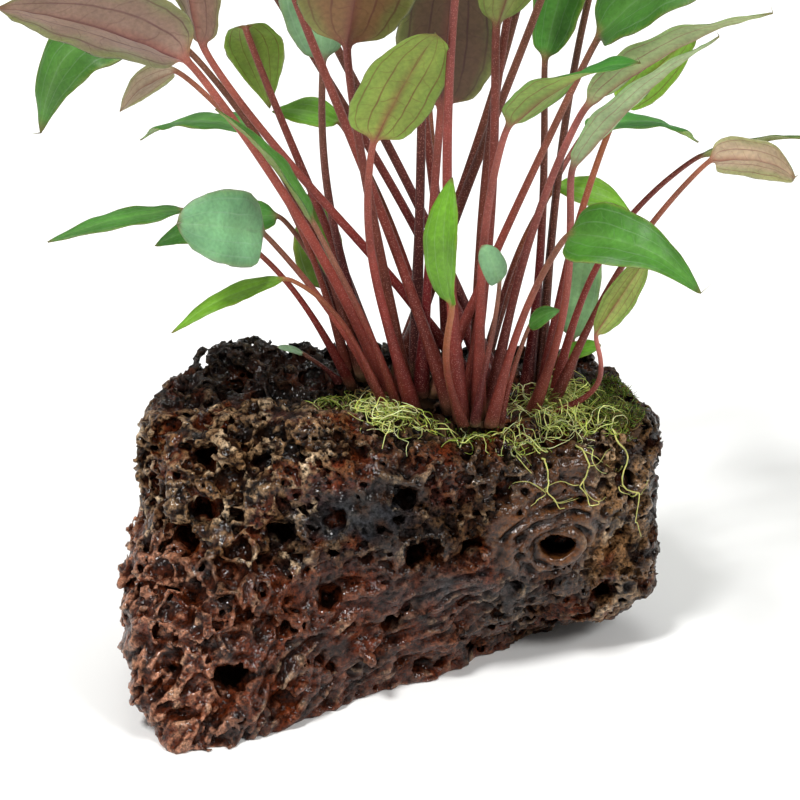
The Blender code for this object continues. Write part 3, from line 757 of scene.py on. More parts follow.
def paintStone(mesh, points, zones, depth, crest):
    low, right, dark, smoky = zones
    tone = {name: linearColour(text) for name, text in stoneColours.items()}
    colour = np.tile(tone["plain"], (len(points), 1))

    def lay(name, share):
        colour[:] = blend(colour, tone[name], np.clip(share, 0, 1)[:, None])

    lay("rust", smoothStep(-0.1, 0.4, waves(points, 13, 31)) * 0.9)
    lay("low", low * 0.85)
    lay("right", right)
    lay("smoky", smoky * smoothStep(-0.5, 0.1, waves(points, 5, 36)))
    lay("dark", dark * (0.75 + 0.5 * waves(points, 9, 37)))
    lay("dark", smoothStep(0.0, 0.4, waves(points, 7, 32)) * (0.75 - 0.45 * right))
    colour *= (1 + 0.5 * waves(points, 4, 33))[:, None]
    colour *= (1 + 0.5 * waves(points, 1.6, 34))[:, None]
    left = smoothStep(-6, -30, points[:, 0]) * smoothStep(40, 56, points[:, 2]) * (1 - dark)
    corner = smoothStep(-36, -58, points[:, 0]) * low
    rim = smoothStep(50, 62, points[:, 0]) * smoothStep(30, 8, points[:, 1])
    # crests are painted lighter with crestLow, ochre, dust and cream: partly the stone's own pale tan, partly
    # painted highlight on the ridges
    edge = smoothStep(0.3, 1.05, crest)
    lay("crestLow", edge * low * (0.15 + 0.6 * corner))
    lay("gold", smoothStep(-0.1, 0.6, crest) * right * (0.35 + 0.5 * waves(points, 6, 42)))
    lay("ochre", edge * (0.2 + 0.45 * left) * (1 - low) * (1 - 0.8 * dark) * (1 - smoky) * (1 - 0.9 * right))
    lay("ochre", rim * smoothStep(-0.2, 0.25, waves(points, 8, 41)) * 0.75)
    dustAndHighlightShare = edge * (0.4 * left + 0.9 * rim) * smoothStep(-0.25, 0.25, waves(points, 11, 40))
    lay("dustAndHighlight", dustAndHighlightShare * (1 - 0.6 * dark))
    cream = smoothStep(0.15, 0.5, waves(points, 6, 35)) * smoothStep(0.5, 1.1, crest)
    lay("cream", cream * (1 - 0.8 * right) * (0.25 + 0.75 * left) * (1 - 0.6 * dark))
    sunk, glow = smoothStep(1.4, 6.0, depth), smoothStep(0.0, 0.25, waves(points, 18, 39))
    lay("orange", sunk * glow * 0.9)
    # painted shade: spots deep below the cage's surface and concave spots are darkened towards the near-black
    # hollow colour
    hollow = sunk * (1 - 0.5 * right) * (1 - 0.65 * glow) + 0.6 * smoothStep(0.2, 0.9, -crest)
    hollow = np.clip(hollow, 0, 1)
    lay("hollow", np.clip(hollow + 0.35 * right * smoothStep(0.0, 0.5, -crest), 0, 1))
    paint(mesh, "stoneColour", np.clip(colour, 0, 1))
    paint(mesh, "stoneSmooth", np.clip(right + 0.4 * low, 0, 1))
    wet = smoothStep(-0.35, 0.3, waves(points, 10, 38) + 0.35 * low + 0.8 * right)
    paint(mesh, "stoneWet", np.clip((1 - 1.1 * hollow) * (0.15 + 0.6 * wet + 0.3 * right), 0, 1))


def lavaMaterial():
    # scoria, broken and damp: dark glass froth whose wet crests throw small bright points
    material, tree, shader = newMaterial("scoria, broken and damp", {
        "Metallic": 0.0, "IOR": 1.5, "Coat Roughness": 0.08, "Coat IOR": 1.45,
    })
    place = readPlace(tree)
    colour = readPaint(tree, "stoneColour", "Color")
    calm, wet = readPaint(tree, "stoneSmooth"), readPaint(tree, "stoneWet")
    speck = noiseTexture(tree, place, 1.2, 5.0, 0.75)
    specked = mixColours(tree, colour, remap(tree, speck, 0.34, 0.66, 0.15, 2.2))
    # painted shade: the middles of the froth cells and of the pinholes are darkened, and the pinhole rims are
    # made a little lighter, a faint painted highlight
    froth = remap(tree, cellTexture(tree, place, 1.6), 0.14, 0.45, curve="SMOOTHSTEP")
    pored = mixColours(tree, specked, remap(tree, froth, 0, 1, 0.12))
    pinholes = remap(tree, cellTexture(tree, place, 0.75), 0.12, 0.42, 0.35, 1.1)
    poreShaded = mixColours(tree, pored, pinholes)
    fine = noiseTexture(tree, place, 0.8, 4.0, 0.8)
    height = calculate(tree, "MULTIPLY_ADD", froth, 0.8, fine)
    wire(tree, shader, {
        "Base Color": mixColours(tree, poreShaded, specked, remap(tree, calm, 0, 1, 0, 0.85), "MIX"),
        "Roughness": remap(tree, speck, 0.35, 0.65, 0.55, 0.28),
        "Coat Weight": remap(tree, wet, 0, 1, 0, 0.8),
        "Specular IOR Level": remap(tree, wet, 0, 1, 0, 0.12),
        "Normal": addBump(tree, height, remap(tree, calm, 0, 1, 1.0, 0.45), 0.9),
        "Coat Normal": addBump(tree, noiseTexture(tree, place, 1.8, 2.0), 0.7, 1.0),
    })
    return material


# Leaves: each one is a petiole that flattens into its blade

rhizomes = {
    "rhizome_left": ((-5, 35), (7.5, 7.0, 4.0)),
    "rhizome_middle": ((4, 22), (7.5, 6.0, 4.5)),
    "rhizome_front": ((20, 17), (8.0, 6.0, 4.5)),
    "rhizome_right": ((36, 28), (8.5, 8.0, 4.5)),
    "rhizome_back": ((17, 40), (8.5, 8.0, 4.0)),
}
# Rhizome, neck, tip, width, where the upper side looks, arch, radius of the petiole, its bow, look, fold of
# the blade in degrees and wave of its edge
leafRow = namedtuple("leafRow", "rhizome neck tip width face arch radius bow look fold wave")
leafRows = [
    ("middle", (-56, -12, 188), (-104, -26, 206), 36, (0.1, 0.8, 0.6), 6, 1.5, (0, 0, -3), "purple", 26, 0.5),
    ("right", (-53, 2, 187), (-68, 6, 232), 28, (0.7, 0.6, 0.3), 5, 1.5, (0, 0, 0), "purple", 24, 0.6),
    ("left", (-59, 23, 182), (-101, 5, 162), 24, (-0.4, -0.35, 0.9), 34, 1.3, (3, 0, 0), "deep", 4, 0.5),
    ("left", (-62, 24, 175), (-78, 18, 165), 13, (-0.4, 0.7, 0.5), 4, 1.05, (4, 0, 0), "pink", 14, 0.3),
    ("middle", (-23, -20, 145), (-47, -26, 180), 10, (0.75, -0.2, 0.5), 3, 1.05, (0, 0, 0), "deep", 42, 0.3),
    ("left", (-43, 26, 187), (-37, 44, 158), 17, (0, 1, 0.1), 12, 1.3, (0, 0, 0), "veined", 10, 0.5),
    ("back", (-17, 46, 153), (-37, 52, 155), 13, (0, -0.4, 1), 4, 1.05, (0, 0, 0), "bright", 12, 0.3),
    ("middle", (-7, -26, 170), (9, -42, 204), 22, (-0.1, 0.9, 0.4), 3, 1.4, (-4, 0, 0), "veined", 12, 0.4),
    ("middle", (-14, -24, 195), (-6, -52, 240), 32, (0, 0.85, 0.5), 6, 1.55, (0, 0, 0), "tan", 14, 0.5),
    ("middle", (11, -4, 172), (15, -14, 226), 28, (0.1, 0.95, 0.1), 4, 1.5, (0, 0, 0), "dusk", 12, 0.5),
    ("front", (25, -18, 199), (38, -40, 238), 20, (-0.2, 0.8, 0.5), 5, 1.5, (4, 0, 0), "olive", 14, 0.5),
    ("left", (-21, 16, 179), (-28, 24, 226), 22, (0.3, -0.9, 0.2), 4, 1.3, (-6, 0, 0), "bluish", 14, 0.5),
    ("right", (40, 28, 176), (54, 38, 224), 17, (-0.5, -0.8, 0.2), 4, 1.3, (3, 0, 0), "deep", 14, 0.5),
    ("front", (28, -26, 174), (60, -42, 198), 17, (-0.3, 0.8, 0.5), 6, 1.4, (0, 0, 0), "fresh", 26, 0.4),
    ("middle", (53, 8, 188), (96, 0, 220), 30, (-0.3, -0.4, 0.85), 8, 1.4, (0, -6, -3), "deep", 26, 0.6),
    ("front", (49, -12, 175), (96, -22, 206), 19, (-0.3, 0.7, 0.6), 5, 1.4, (0, 0, 0), "pale", 38, 0.5),
    ("right", (45, -22, 161), (81, -34, 202), 15, (-0.5, 0.7, 0.4), 3, 1.3, (7, -4, 0), "pale", 36, 0.4),
    ("right", (60, 14, 167), (81, 10, 191), 13, (0.3, 0.9, 0.2), 2, 1.15, (0, 0, 0), "bright", 10, 0.3),
    ("right", (82, 8, 155), (117, 0, 163), 14, (0, 0.3, 1), 4, 1.05, (-4, 0, 5), "olive", 16, 0.4),
    ("right", (84, -4, 158), (107, -14, 157), 15, (0.1, 0.9, 0.4), 6, 1.05, (0, 0, 0), "pink", 14, 0.4),
    ("front", (44, -32, 146), (81, -54, 141), 20, (-0.1, -0.75, 0.65), 15, 1.3, (0, 0, 0), "deep", 26, 0.4),
    ("right", (50, 38, 89), (56, 46, 130), 12, (-0.2, -0.95, 0.2), 2, 1.05, (2, 0, 0), "bluish", 10, 0.3),
    ("right", (54, 0, 105), (69, -8, 134), 9, (0.5, 0.8, 0.2), 2, 0.9, (8, 0, -4), "fresh", 14, 0.2),
    ("front", (14, -36, 127), (13, -36, 163), 14, (-0.75, -0.5, 0.2), 5, 1.15, (-4, 0, 0), "bright", 32, 0.2),
    ("middle", (-37, -10, 139), (-57, -34, 150), 21, (0.1, -0.9, 0.4), 4, 1.05, (0, 0, 0), "bluish", 12, 0.5),
    ("left", (-34, 31, 130), (-70, 23, 125), 13, (0, -0.6, 0.8), 6, 1.05, (0, 0, 0), "deep", 12, 0.4),
    ("left", (-58, -2, 143), (-95, -16, 139), 9, (0, -0.3, 1), 3, 1.0, (0, 0, 4), "deep", 14, 0.5),
    ("middle", (-31, -10, 126), (-62, -22, 115), 8, (0, -0.3, 1), 5, 0.9, (0, 0, 3), "bright", 14, 0.2),
    ("left", (-22, 40, 104), (-26, 46, 132), 15, (0.2, -0.9, 0.2), 2, 1.0, (0, 0, 0), "olive", 10, 0.3),
    ("back", (45, 44, 135), (66, 36, 130), 11, (0, -0.5, 0.85), 4, 1.0, (0, 0, 0), "bright", 12, 0.3),
    ("right", (46, 36, 85), (58, 32, 90), 7, (0, -0.5, 0.85), 2, 0.85, (0, 0, 0), "bright", 10, 0.2),
    ("front", (36, 3, 107), (44, -2, 114), 7, (0.2, -0.6, 0.8), 2, 0.85, (0, 0, 0), "deep", 12, 0.2),
    ("front", (27, -16, 127), (22, -18, 138), 8, (0.4, -0.8, 0.3), 2, 0.9, (0, 0, 0), "bluish", 12, 0.2),
    ("left", (-28, 26, 90), (-35, 23, 93), 4, (0, -0.3, 1), 1, 0.85, (0, 0, 0), "bluish", 10, 0.1),
    ("right", (-46, 20, 218), (-84, 14, 262), 30, (0.3, -0.3, 0.9), 9, 1.5, (0, 5, 0), "deep", 16, 0.6),
    ("right", (-36, 38, 216), (-56, 66, 256), 30, (0.4, -0.5, 0.7), 8, 1.5, (0, 6, 0), "bluish", 16, 0.6),
    ("front", (-30, -8, 210), (-48, -34, 252), 28, (0.3, 0.6, 0.6), 8, 1.5, (0, 0, 0), "dusk", 16, 0.6),
    ("front", (14, -44, 214), (16, -84, 240), 28, (0, 0.7, 0.7), 9, 1.5, (-3, -3, 0), "tan", 16, 0.6),
    ("front", (33, 6, 218), (46, -2, 266), 28, (-0.2, 0.9, 0.2), 7, 1.55, (-3, 0, 0), "olive", 14, 0.6),
    ("left", (44, 20, 212), (74, 26, 256), 30, (-0.5, -0.3, 0.7), 8, 1.55, (0, -9, 0), "deep", 16, 0.6),
    ("right", (54, 34, 200), (96, 48, 234), 28, (-0.3, -0.3, 0.9), 9, 1.4, (0, 0, 0), "bluish", 16, 0.6),
    ("back", (0, 56, 204), (-14, 100, 238), 30, (0, -0.5, 0.9), 9, 1.5, (0, 0, 0), "deep", 16, 0.6),
    ("left", (36, 66, 190), (64, 110, 214), 28, (-0.2, -0.4, 0.9), 9, 1.4, (4, 2, 0), "deep", 16, 0.6),
    ("back", (-34, 62, 190), (-68, 100, 214), 28, (0.2, -0.4, 0.9), 9, 1.4, (0, 0, 0), "bluish", 16, 0.6),
    ("back", (8, 78, 160), (14, 122, 164), 22, (0, -0.3, 1), 9, 1.25, (0, 0, 0), "bright", 14, 0.5),
    ("left", (-42, 58, 146), (-78, 86, 136), 20, (0, 0, 1), 9, 1.15, (0, 0, 0), "deep", 14, 0.5),
    ("back", (54, 66, 144), (90, 90, 134), 20, (0, 0, 1), 9, 1.15, (0, 0, 0), "fresh", 14, 0.5),
    ("middle", (6, 24, 224), (-2, 14, 278), 28, (0.1, -0.9, 0.3), 6, 1.55, (0, 3, 0), "bluish", 14, 0.6),
]
leaves = []
for row in leafRows:
    leaves.append(leafRow(*(np.array(part, float) if isinstance(part, tuple) else part for part in row)))
# Upper side, underside, veins below, petiole at its middle and petiole near the blade
looks = {
    "purple": ("#5b7a3c", "#8f6f62", "#5a3236", "#74222b", "#94564a"),
    "pink": ("#7a9a52", "#b8a587", "#8a5a50", "#743c34", "#96624c"),
    "deep": ("#437a2c", "#86a05c", "#6e3a34", "#74242c", "#835c48"),
    "bright": ("#629020", "#8cb040", "#7f5a38", "#7a3c34", "#9c6644"),
    "fresh": ("#3a7a28", "#8fa654", "#7f4038", "#6e3036", "#9c5e56"),
    "veined": ("#5f8a34", "#7f9a40", "#6e3428", "#753634", "#925246"),
    "bluish": ("#76a074", "#7da072", "#6a6248", "#623436", "#825c4a"),
    "pale": ("#5d8a46", "#9bab7a", "#915a56", "#74383c", "#9a5e58"),
    "olive": ("#526e28", "#848e4a", "#6e3f38", "#74302c", "#7c443a"),
    "tan": ("#5c7a40", "#7e5a3e", "#5f342e", "#7a2a2c", "#7c423c"),
    "dusk": ("#4f6a38", "#564434", "#402628", "#7a2c30", "#844a40"),
}
# Leaves that aren't of the common lance shape: outline, curl of the tip and twist in degrees
forms = {
    1: ("ovate", 0, 0), 3: ("lance", 5, -26), 5: ("lance", 2, 20), 8: ("round", 1, 0),
    9: ("ovate", 0, 0), 10: ("ovate", 0, 0), 14: ("ovate", 3, 55), 15: ("ovate", 2, 25),
    16: ("lance", 3, 25), 17: ("lance", 2, 20), 18: ("ovate", 2, 0), 20: ("round", 2, 0),
    21: ("spoon", 9, -14), 22: ("ovate", 0, 8), 24: ("ovate", 2, 32), 25: ("round", 3, 0),
    26: ("ovate", 3, 0), 31: ("round", 0, 0), 33: ("round", 0, 0), 34: ("round", 0, 0),
}
leafMake = {
    "sides": 36,
    "petioleRings": 34,
    "bladeRings": 62,
    "samples": 24,
    "baseSpacing": 4.4,
    "feetSteps": 400,
    "neckShare": 0.75,
    "spreadSteps": 260,
    "spreadGap": 0.8,
    "topHeight": 76,
    "halfThickness": 0.26,
    "stalkShare": 0.92,
    "stalkPlaces": (0, 0.07, 0.17, 0.32, 1),
    "stalkSizes": (1.9, 1.7, 1.3, 1, 0.75),
    "widthPlaces": (0, 0.03, 0.07, 0.13, 0.22, 0.34, 0.48, 0.62, 0.75, 0.86, 0.94, 0.98, 1),
    "lance": (0.06, 0.24, 0.42, 0.64, 0.84, 0.98, 0.99, 0.86, 0.64, 0.39, 0.18, 0.08, 0.02),
    "ovate": (0.08, 0.32, 0.54, 0.76, 0.93, 1.0, 0.97, 0.85, 0.65, 0.41, 0.20, 0.09, 0.02),
    "spoon": (0.08, 0.34, 0.60, 0.86, 1.0, 0.97, 0.84, 0.66, 0.47, 0.30, 0.17, 0.09, 0.02),
    "round": (0.10, 0.40, 0.64, 0.84, 0.96, 1.0, 1.0, 0.95, 0.83, 0.63, 0.40, 0.22, 0.03),
}


def bezier(controls, t):
    t = np.asarray(t)[:, None]
    degree = len(controls) - 1
    return sum(
        math.comb(degree, k) * (1 - t) ** (degree - k) * t**k * np.asarray(p, float)
        for k, p in enumerate(controls)
    )


def placeFeet():
    feet = []
    for leaf in leaves:
        centre, halfSizes = rhizomes["rhizome_" + leaf.rhizome]
        away = leaf.neck[:2] - centre
        lean = min(1.4 * np.linalg.norm(away) / (leaf.neck[2] - leafMake["topHeight"]), 1.4)
        feet.append(np.array(centre, float) + unit(away) * (1 + lean * halfSizes[0]))
    feet = np.array(feet)
    spacing = leafMake["baseSpacing"]
    for step in range(leafMake["feetSteps"]):
        for i in range(len(feet)):
            for j in range(i):
                between = feet[i] - feet[j]
                distance = np.linalg.norm(between)
                if distance < spacing:
                    push = unit(between) * (spacing - distance) * 0.25
                    feet[i] += push
                    feet[j] -= push
    return feet


def bladeFace(leaf):
    chord = unit(leaf.tip - leaf.neck)
    return unit(leaf.face - leaf.face.dot(chord) * chord)


def bladeSpine(leaf):
    return [leaf.neck, (leaf.neck + leaf.tip) / 2 + bladeFace(leaf) * leaf.arch, leaf.tip]


def petioleRoute(foot, leaf):
    neck, bow = leaf.neck, leaf.bow * 1.4
    length, way = np.linalg.norm(neck - foot), unit(neck - foot)
    start = foot + unit(way + (0, 0, 0.45)) * length * 0.36 + bow
    end = neck - unit(way + 0.5 * unit(bladeSpine(leaf)[1] - neck)) * length * 0.32 + bow
    return bezier([foot, start, end, neck], np.linspace(0, 1, leafMake["samples"]))


def spreadPetioles(routes, radii):
    routes = np.array(routes)
    count, samples = routes.shape[:2]
    owner = np.repeat(np.arange(count), samples)
    reach = np.repeat(radii, samples)
    share = np.tile(np.sin(np.linspace(0, math.pi, samples)) ** 0.5, count)[:, None]
    keep = (reach[:, None] + reach[None, :]) * 1.12 + leafMake["spreadGap"]
    same = owner[:, None] == owner[None, :]
    for step in range(leafMake["spreadSteps"]):
        flat = routes.reshape(-1, 3)
        between = flat[:, None] - flat[None, :]
        distance = np.linalg.norm(between, axis=2) + 1e-9
        press = np.where(same, 0, np.clip(keep - distance, 0, None) / distance)
        move = (between * press[:, :, None]).sum(1) * 0.22 * share
        move = move.reshape(count, samples, 3).swapaxes(0, 1)
        routes = routes + evened(evened(move)).swapaxes(0, 1)
        routes[:, 2:-2] = 0.94 * routes[:, 2:-2] + 0.03 * (routes[:, 1:-3] + routes[:, 3:-1])
    return routes


def throughPoints(points, count):
    padded = np.concatenate([[2 * points[0] - points[1]], points, [2 * points[-1] - points[-2]]])
    places = np.linspace(0, len(points) - 1, count)
    made = []
    for place in places:
        k = min(int(place), len(points) - 2)
        t = place - k
        a, b, c, d = padded[k:k + 4]
        made.append(0.5 * (2 * b + (c - a) * t + (2 * a - 5 * b + 4 * c - d) * t**2
                           + (3 * b - a - 3 * c + d) * t**3))
    return np.array(made)


def leafCentreline(route, leaf):
    rings = leafMake["petioleRings"]
    stalk = throughPoints(route, rings)
    stations = np.linspace(0, 1, leafMake["bladeRings"] + 1)[1:] ** 1.12
    line = np.concatenate([stalk, bezier(bladeSpine(leaf), stations)])
    for step in range(10):
        line[rings - 6:rings + 6] = evened(line[rings - 6:rings + 6])
    return line, np.concatenate([np.zeros(rings), stations])


def leafFrames(line, leaf):
    tangents = unitRows(np.gradient(line, axis=0))
    tangents[0] = (0, 0, 1)
    face = bladeFace(leaf)
    lifts = np.zeros_like(line)
    rings = leafMake["petioleRings"]
    for k in range(rings, len(line)):
        lifts[k] = unit(face - face.dot(tangents[k]) * tangents[k])
    for k in range(rings - 1, -1, -1):
        lifts[k] = unit(lifts[k + 1] - lifts[k + 1].dot(tangents[k]) * tangents[k])
    return tangents, lifts, np.cross(lifts, tangents)


def leafPoints(route, leaf, number):
    draw = np.random.default_rng(100 + number)
    fold, length = math.radians(leaf.fold), np.linalg.norm(leaf.tip - leaf.neck)
    sides, rings = leafMake["sides"], leafMake["petioleRings"]
    line, t = leafCentreline(route, leaf)
    tangents, lifts, sideways = leafFrames(line, leaf)
    count = len(line)
    angle = 2 * math.pi * np.arange(sides) / sides
    v = np.sign(np.cos(angle)) * np.abs(np.cos(angle)) ** 1.6
    v[np.abs(np.cos(angle)) < 1e-6] = 0
    topness = np.clip(np.sin(angle) * 2.5, -1, 1)
    t, v2, edge = t[:, None], v[None, :], np.abs(v[None, :])

    stalkShare = np.concatenate([np.linspace(0, 1, rings), np.ones(count - rings)])
    size = np.interp(stalkShare, leafMake["stalkPlaces"], leafMake["stalkSizes"])
    size *= leafMake["stalkShare"] * leaf.radius * (1 + 0.05 * np.sin(np.linspace(0, 9, count) + number))
    groove = 1 - 0.13 * np.exp(-((angle - math.pi / 2) / 0.5) ** 2)
    circleOut = size[:, None] * np.cos(angle) * groove
    circleUp = size[:, None] * np.sin(angle) * groove

    outline, curl, twist = forms.get(number, ("lance", 1, 0))
    half = leaf.width / 2 * np.interp(t, leafMake["widthPlaces"], leafMake[outline])
    edgePhase = draw.random(2) * 6.28
    phase = np.where(v2 > 0, edgePhase[0], edgePhase[1])
    ripple = np.sin(t * length / 14.4 * 2 * math.pi + phase) + 0.5 * np.sin(t * length / 3.4 + phase * 2)
    rise = half * (np.sqrt(v2**2 + 0.02) - 0.14) * math.sin(fold) * (1 - 0.35 * t) - half * 0.16 * edge**3.2
    rise = rise + leaf.wave * ripple * edge**2.2 * np.minimum(half / 6, 1)
    out = half * v2 * math.cos(fold * 0.8)
    sweep = np.clip(1 - t / 0.2, 0, 1) ** 1.5 * 0.3 * edge**1.6 * half
    thick = leafMake["halfThickness"] * (1 - v2**4) * (1.15 - 0.5 * t)
    midrib = leaf.radius * leafMake["neckShare"] * (1 - t) ** 0.8 * 0.95 + 0.12
    ribShape = np.exp(-(half * v2 / (midrib * 1.05)) ** 2)
    upShift = rise + topness * thick
    upShift = upShift - np.where(topness < 0, -1.1, 0.25) * topness * ribShape * midrib

    blade = smoothStep(0.0, 0.09, t) * (t > 0)
    upShift = upShift - curl * smoothStep(0.5, 1.1, t) ** 1.5
    turned = np.radians(twist) * smoothStep(0.1, 1.0, t)
    cosine, sine = np.cos(turned), np.sin(turned)
    out, upShift = out * cosine - upShift * sine, out * sine + upShift * cosine
    points = line[:, None] + tangents[:, None] * (-sweep * blade)[:, :, None]
    points = points + sideways[:, None] * blend(circleOut, out, blade)[:, :, None]
    points = points + lifts[:, None] * blend(circleUp, upShift, blade)[:, :, None]
    under = (topness < 0) * 1.0
    shapes = {"along": t, "across": v2, "blade": blade, "under": under, "stalk": stalkShare[:, None]}
    return points, line, {name: np.broadcast_to(part, points.shape[:2]) for name, part in shapes.items()}


def leafColours(shapes, leaf, number, points):
    draw = np.random.default_rng(500 + number)
    top, under, vein, stalk, neck = (linearColour(text) for text in looks[leaf.look])
    shift = 1 + draw.normal(0, 0.06, 3)
    under, top = under * shift, top * shift
    t, v, below, share, mask = (
        np.abs(shapes[name])[:, None] for name in ("along", "across", "under", "stalk", "blade"))
    blotch = waves(points, 9, number)[:, None]
    upper = top * (1 + 0.35 * blotch) * (1 - 0.25 * v**3) + linearColour("#8fae6a") * 0.12 * (1 - v) ** 4
    green = smoothStep(0.55, 0.95, v + 0.25 * blotch)
    lower = blend(under * (1 + 0.2 * blotch), top * 1.2, 0.45 * green)
    brown = smoothStep(0.93, 1.0, t + 0.02 * blotch) * 0.7 + smoothStep(0.965, 1.0, v) * 0.45
    blade = blend(blend(upper, lower, below), linearColour("#6b4a2c"), np.clip(brown, 0, 0.8))
    # petioles in front are salmon or brown and painted lighter, necks too, a painted light; those behind them
    # are painted darker deep wine, a painted shade
    front = smoothStep(34, -22, leaf.neck[1] + 14 * draw.normal())
    brownish, rosyAndLit = 0.7 * draw.random() ** 2, 0.8 * front * draw.random() ** 1.5
    stalk = stalk * (0.45 + 0.35 * front + 0.3 * draw.random()) * (0.92, 0.43, 0.42)
    stalk = blend(blend(stalk, linearColour("#5e3520"), brownish), linearColour("#a4483c"), rosyAndLit)
    neck = neck * (0.55 + 0.3 * front + 0.3 * draw.random()) * (1.0, 0.85, 0.8)
    stem = blend(stalk, neck, smoothStep(0.3, 1.0, share))
    stem = stem * (0.55 + 0.45 * smoothStep(0.0, 0.5, share)) * (1 + 0.3 * blotch)
    pale = smoothStep(0.045, 0.0, share + 0.02 * blotch) * 0.55 * draw.random()
    rib = np.exp(-(v / (0.11 - 0.05 * t)) ** 2) * below * np.clip(1.1 - t, 0, 1)
    blade = blend(blade, neck * 0.5 + vein * 0.4, 0.85 * rib)
    colour = blend(blend(stem, linearColour("#c9b183"), pale), blade, mask)
    return np.clip(colour, 0, 1), np.clip(blend(top * 0.7 + 0.16, vein, below), 0, 1)


def buildLeaves():
    sides = leafMake["sides"]
    total = leafMake["petioleRings"] + leafMake["bladeRings"]
    template = ringTube("leafTemplate", sides, total)
    ring, side, middle = tubeAddress(template.data, sides)
    feet = placeFeet()
    routes = []
    for number, (foot, leaf) in enumerate(zip(feet, leaves), 1):
        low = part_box(f"leaf_{number:02d}")[0].z / mm
        routes.append(petioleRoute(np.array([*foot, low]), leaf))
    routes = spreadPetioles(routes, [leaf.radius for leaf in leaves])
    material = leafMaterial()
    made = []
    for number, (route, leaf) in enumerate(zip(routes, leaves), 1):
        places, line, shapes = leafPoints(route, leaf, number)
        mesh = template.data.copy()
        obj = addObject(f"leaf{number:02d}", mesh)
        points = places[ring, side]
        for end in (0, total - 1):
            points[middle & (ring == end)] = line[end]
        flat = {name: values[ring, side] for name, values in shapes.items()}
        flat["across"] = np.where(middle, 0, flat["across"])
        setPoints(mesh, points)
        # the blade quilts between its veins, its upper and lower side alike
        quilt = waves(points, 5.0, number) * 0.35 * flat["blade"] * (1 - 2 * flat["under"])
        setPoints(mesh, points + getNormals(mesh) * quilt[:, None])
        colour, vein = leafColours(flat, leaf, number, points)
        paint(mesh, "leafColour", colour)
        paint(mesh, "veinColour", vein)
        for name in ("along", "across", "blade", "under"):
            paint(mesh, name, flat[name])
        finishPiece(obj, f"leaf_{number:02d}", material)
        made.append(obj)
    bpy.data.objects.remove(template)
    print("leaves:", len(made))
    return made


def leafMaterial():
    # living leaf: a waxy skin over juicy green tissue, lit through, its veins sunk above and raised below
    material, tree, shader = newMaterial("living leaf, waxy skin", {
        "Metallic": 0.0, "IOR": 1.42, "Specular IOR Level": 0.36, "Subsurface Weight": 0.2,
        "Subsurface Scale": 1.2 * mm, "Subsurface Radius": (0.9, 1.0, 0.35),
    })

    def times(a, b):
        return calculate(tree, "MULTIPLY", a, b)

    def plus(a, b):
        return calculate(tree, "ADD", a, b)

    def rising(a, slope, start):
        return calculate(tree, "MULTIPLY_ADD", a, slope, start)

    def fromLine(value):
        return calculate(tree, "PINGPONG", value, 0.5)

    place = readPlace(tree)
    across, along, blade, under = (readPaint(tree, name) for name in ("across", "along", "blade", "under"))
    across = calculate(tree, "ABSOLUTE", across)
    wobble = noiseTexture(tree, place, 12, 2.0)
    bent = plus(times(across, 2.6), times(wobble, 0.35))
    lines = remap(tree, fromLine(plus(bent, -0.175)), 0.085, 0.01, curve="SMOOTHSTEP")
    lines = times(lines, rising(wobble, 1.3, 0.1))
    strip = times(calculate(tree, "FLOOR", bent), 0.37)
    rungPlace = plus(plus(times(along, 7.0), times(across, 1.4)), plus(strip, times(wobble, 2.0)))
    rungs = remap(tree, fromLine(rungPlace), 0.05, 0.0, curve="SMOOTHSTEP")
    veins = times(calculate(tree, "MAXIMUM", lines, times(rungs, times(wobble, 0.7))), blade)
    grain = noiseTexture(tree, place, 1.1, 3.0)
    base = mixColours(tree, readPaint(tree, "leafColour", "Color"), remap(tree, grain, 0.3, 0.7, 0.86, 1.14))
    dots = remap(tree, cellTexture(tree, place, 0.5), 0.34, 0.16, 0.0, 0.5)
    dots = times(dots, calculate(tree, "SUBTRACT", 1.0, blade))
    speckled = mixColours(tree, base, (*linearColour("#c98a80"), 1), dots, "MIX")
    shown = times(veins, rising(under, 0.5, 0.3))
    height = plus(times(veins, rising(under, 1.2, -0.4)), times(grain, 0.5))
    wire(tree, shader, {
        "Base Color": mixColours(tree, speckled, readPaint(tree, "veinColour", "Color"), shown, "MIX"),
        "Roughness": plus(rising(under, 0.08, 0.4), times(grain, 0.1)),
        "Normal": addBump(tree, height, 0.35, 0.35),
    })
    return material


# Rhizomes: short knobbly stems that creep over the stone

def rhizomeMaterial():
    # plant stem with leaf scars: corky tan skin, dull, darker in its rings
    material, tree, shader = newMaterial("corky stem skin", {"Metallic": 0.0, "IOR": 1.42})
    blotch = noiseTexture(tree, readPlace(tree), 2.5, 5.0)
    dark, light = ((*linearColour(shade), 1) for shade in ("#2e1a12", "#7a5a3c"))
    wire(tree, shader, {
        "Base Color": mixColours(tree, dark, light, blotch, "MIX"),
        "Roughness": remap(tree, blotch, 0, 1, 0.5, 0.8),
        "Normal": addBump(tree, blotch, 0.6, 0.6),
    })
    return material


def buildRhizomes():
    material = rhizomeMaterial()
    for name in rhizomes:
        low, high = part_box(name)
        centre, half = (low + high) / 2, (high - low) / 2
        deselectAll()
        bpy.ops.mesh.primitive_ico_sphere_add(subdivisions=5, radius=1)
        obj = bpy.context.object
        obj.name = name.replace("_", "")
        for vertex in obj.data.vertices:
            knob = 0.93 + 0.09 * noise.noise(vertex.co * 3 + centre / mm * 0.1)
            scar = 0.025 * math.sin(vertex.co.x * 14)
            vertex.co = Vector(a * b for a, b in zip(vertex.co * (knob + scar), half)) + centre
        finishPiece(obj, name, material)
    print("rhizomes built")


# Moss and root hair

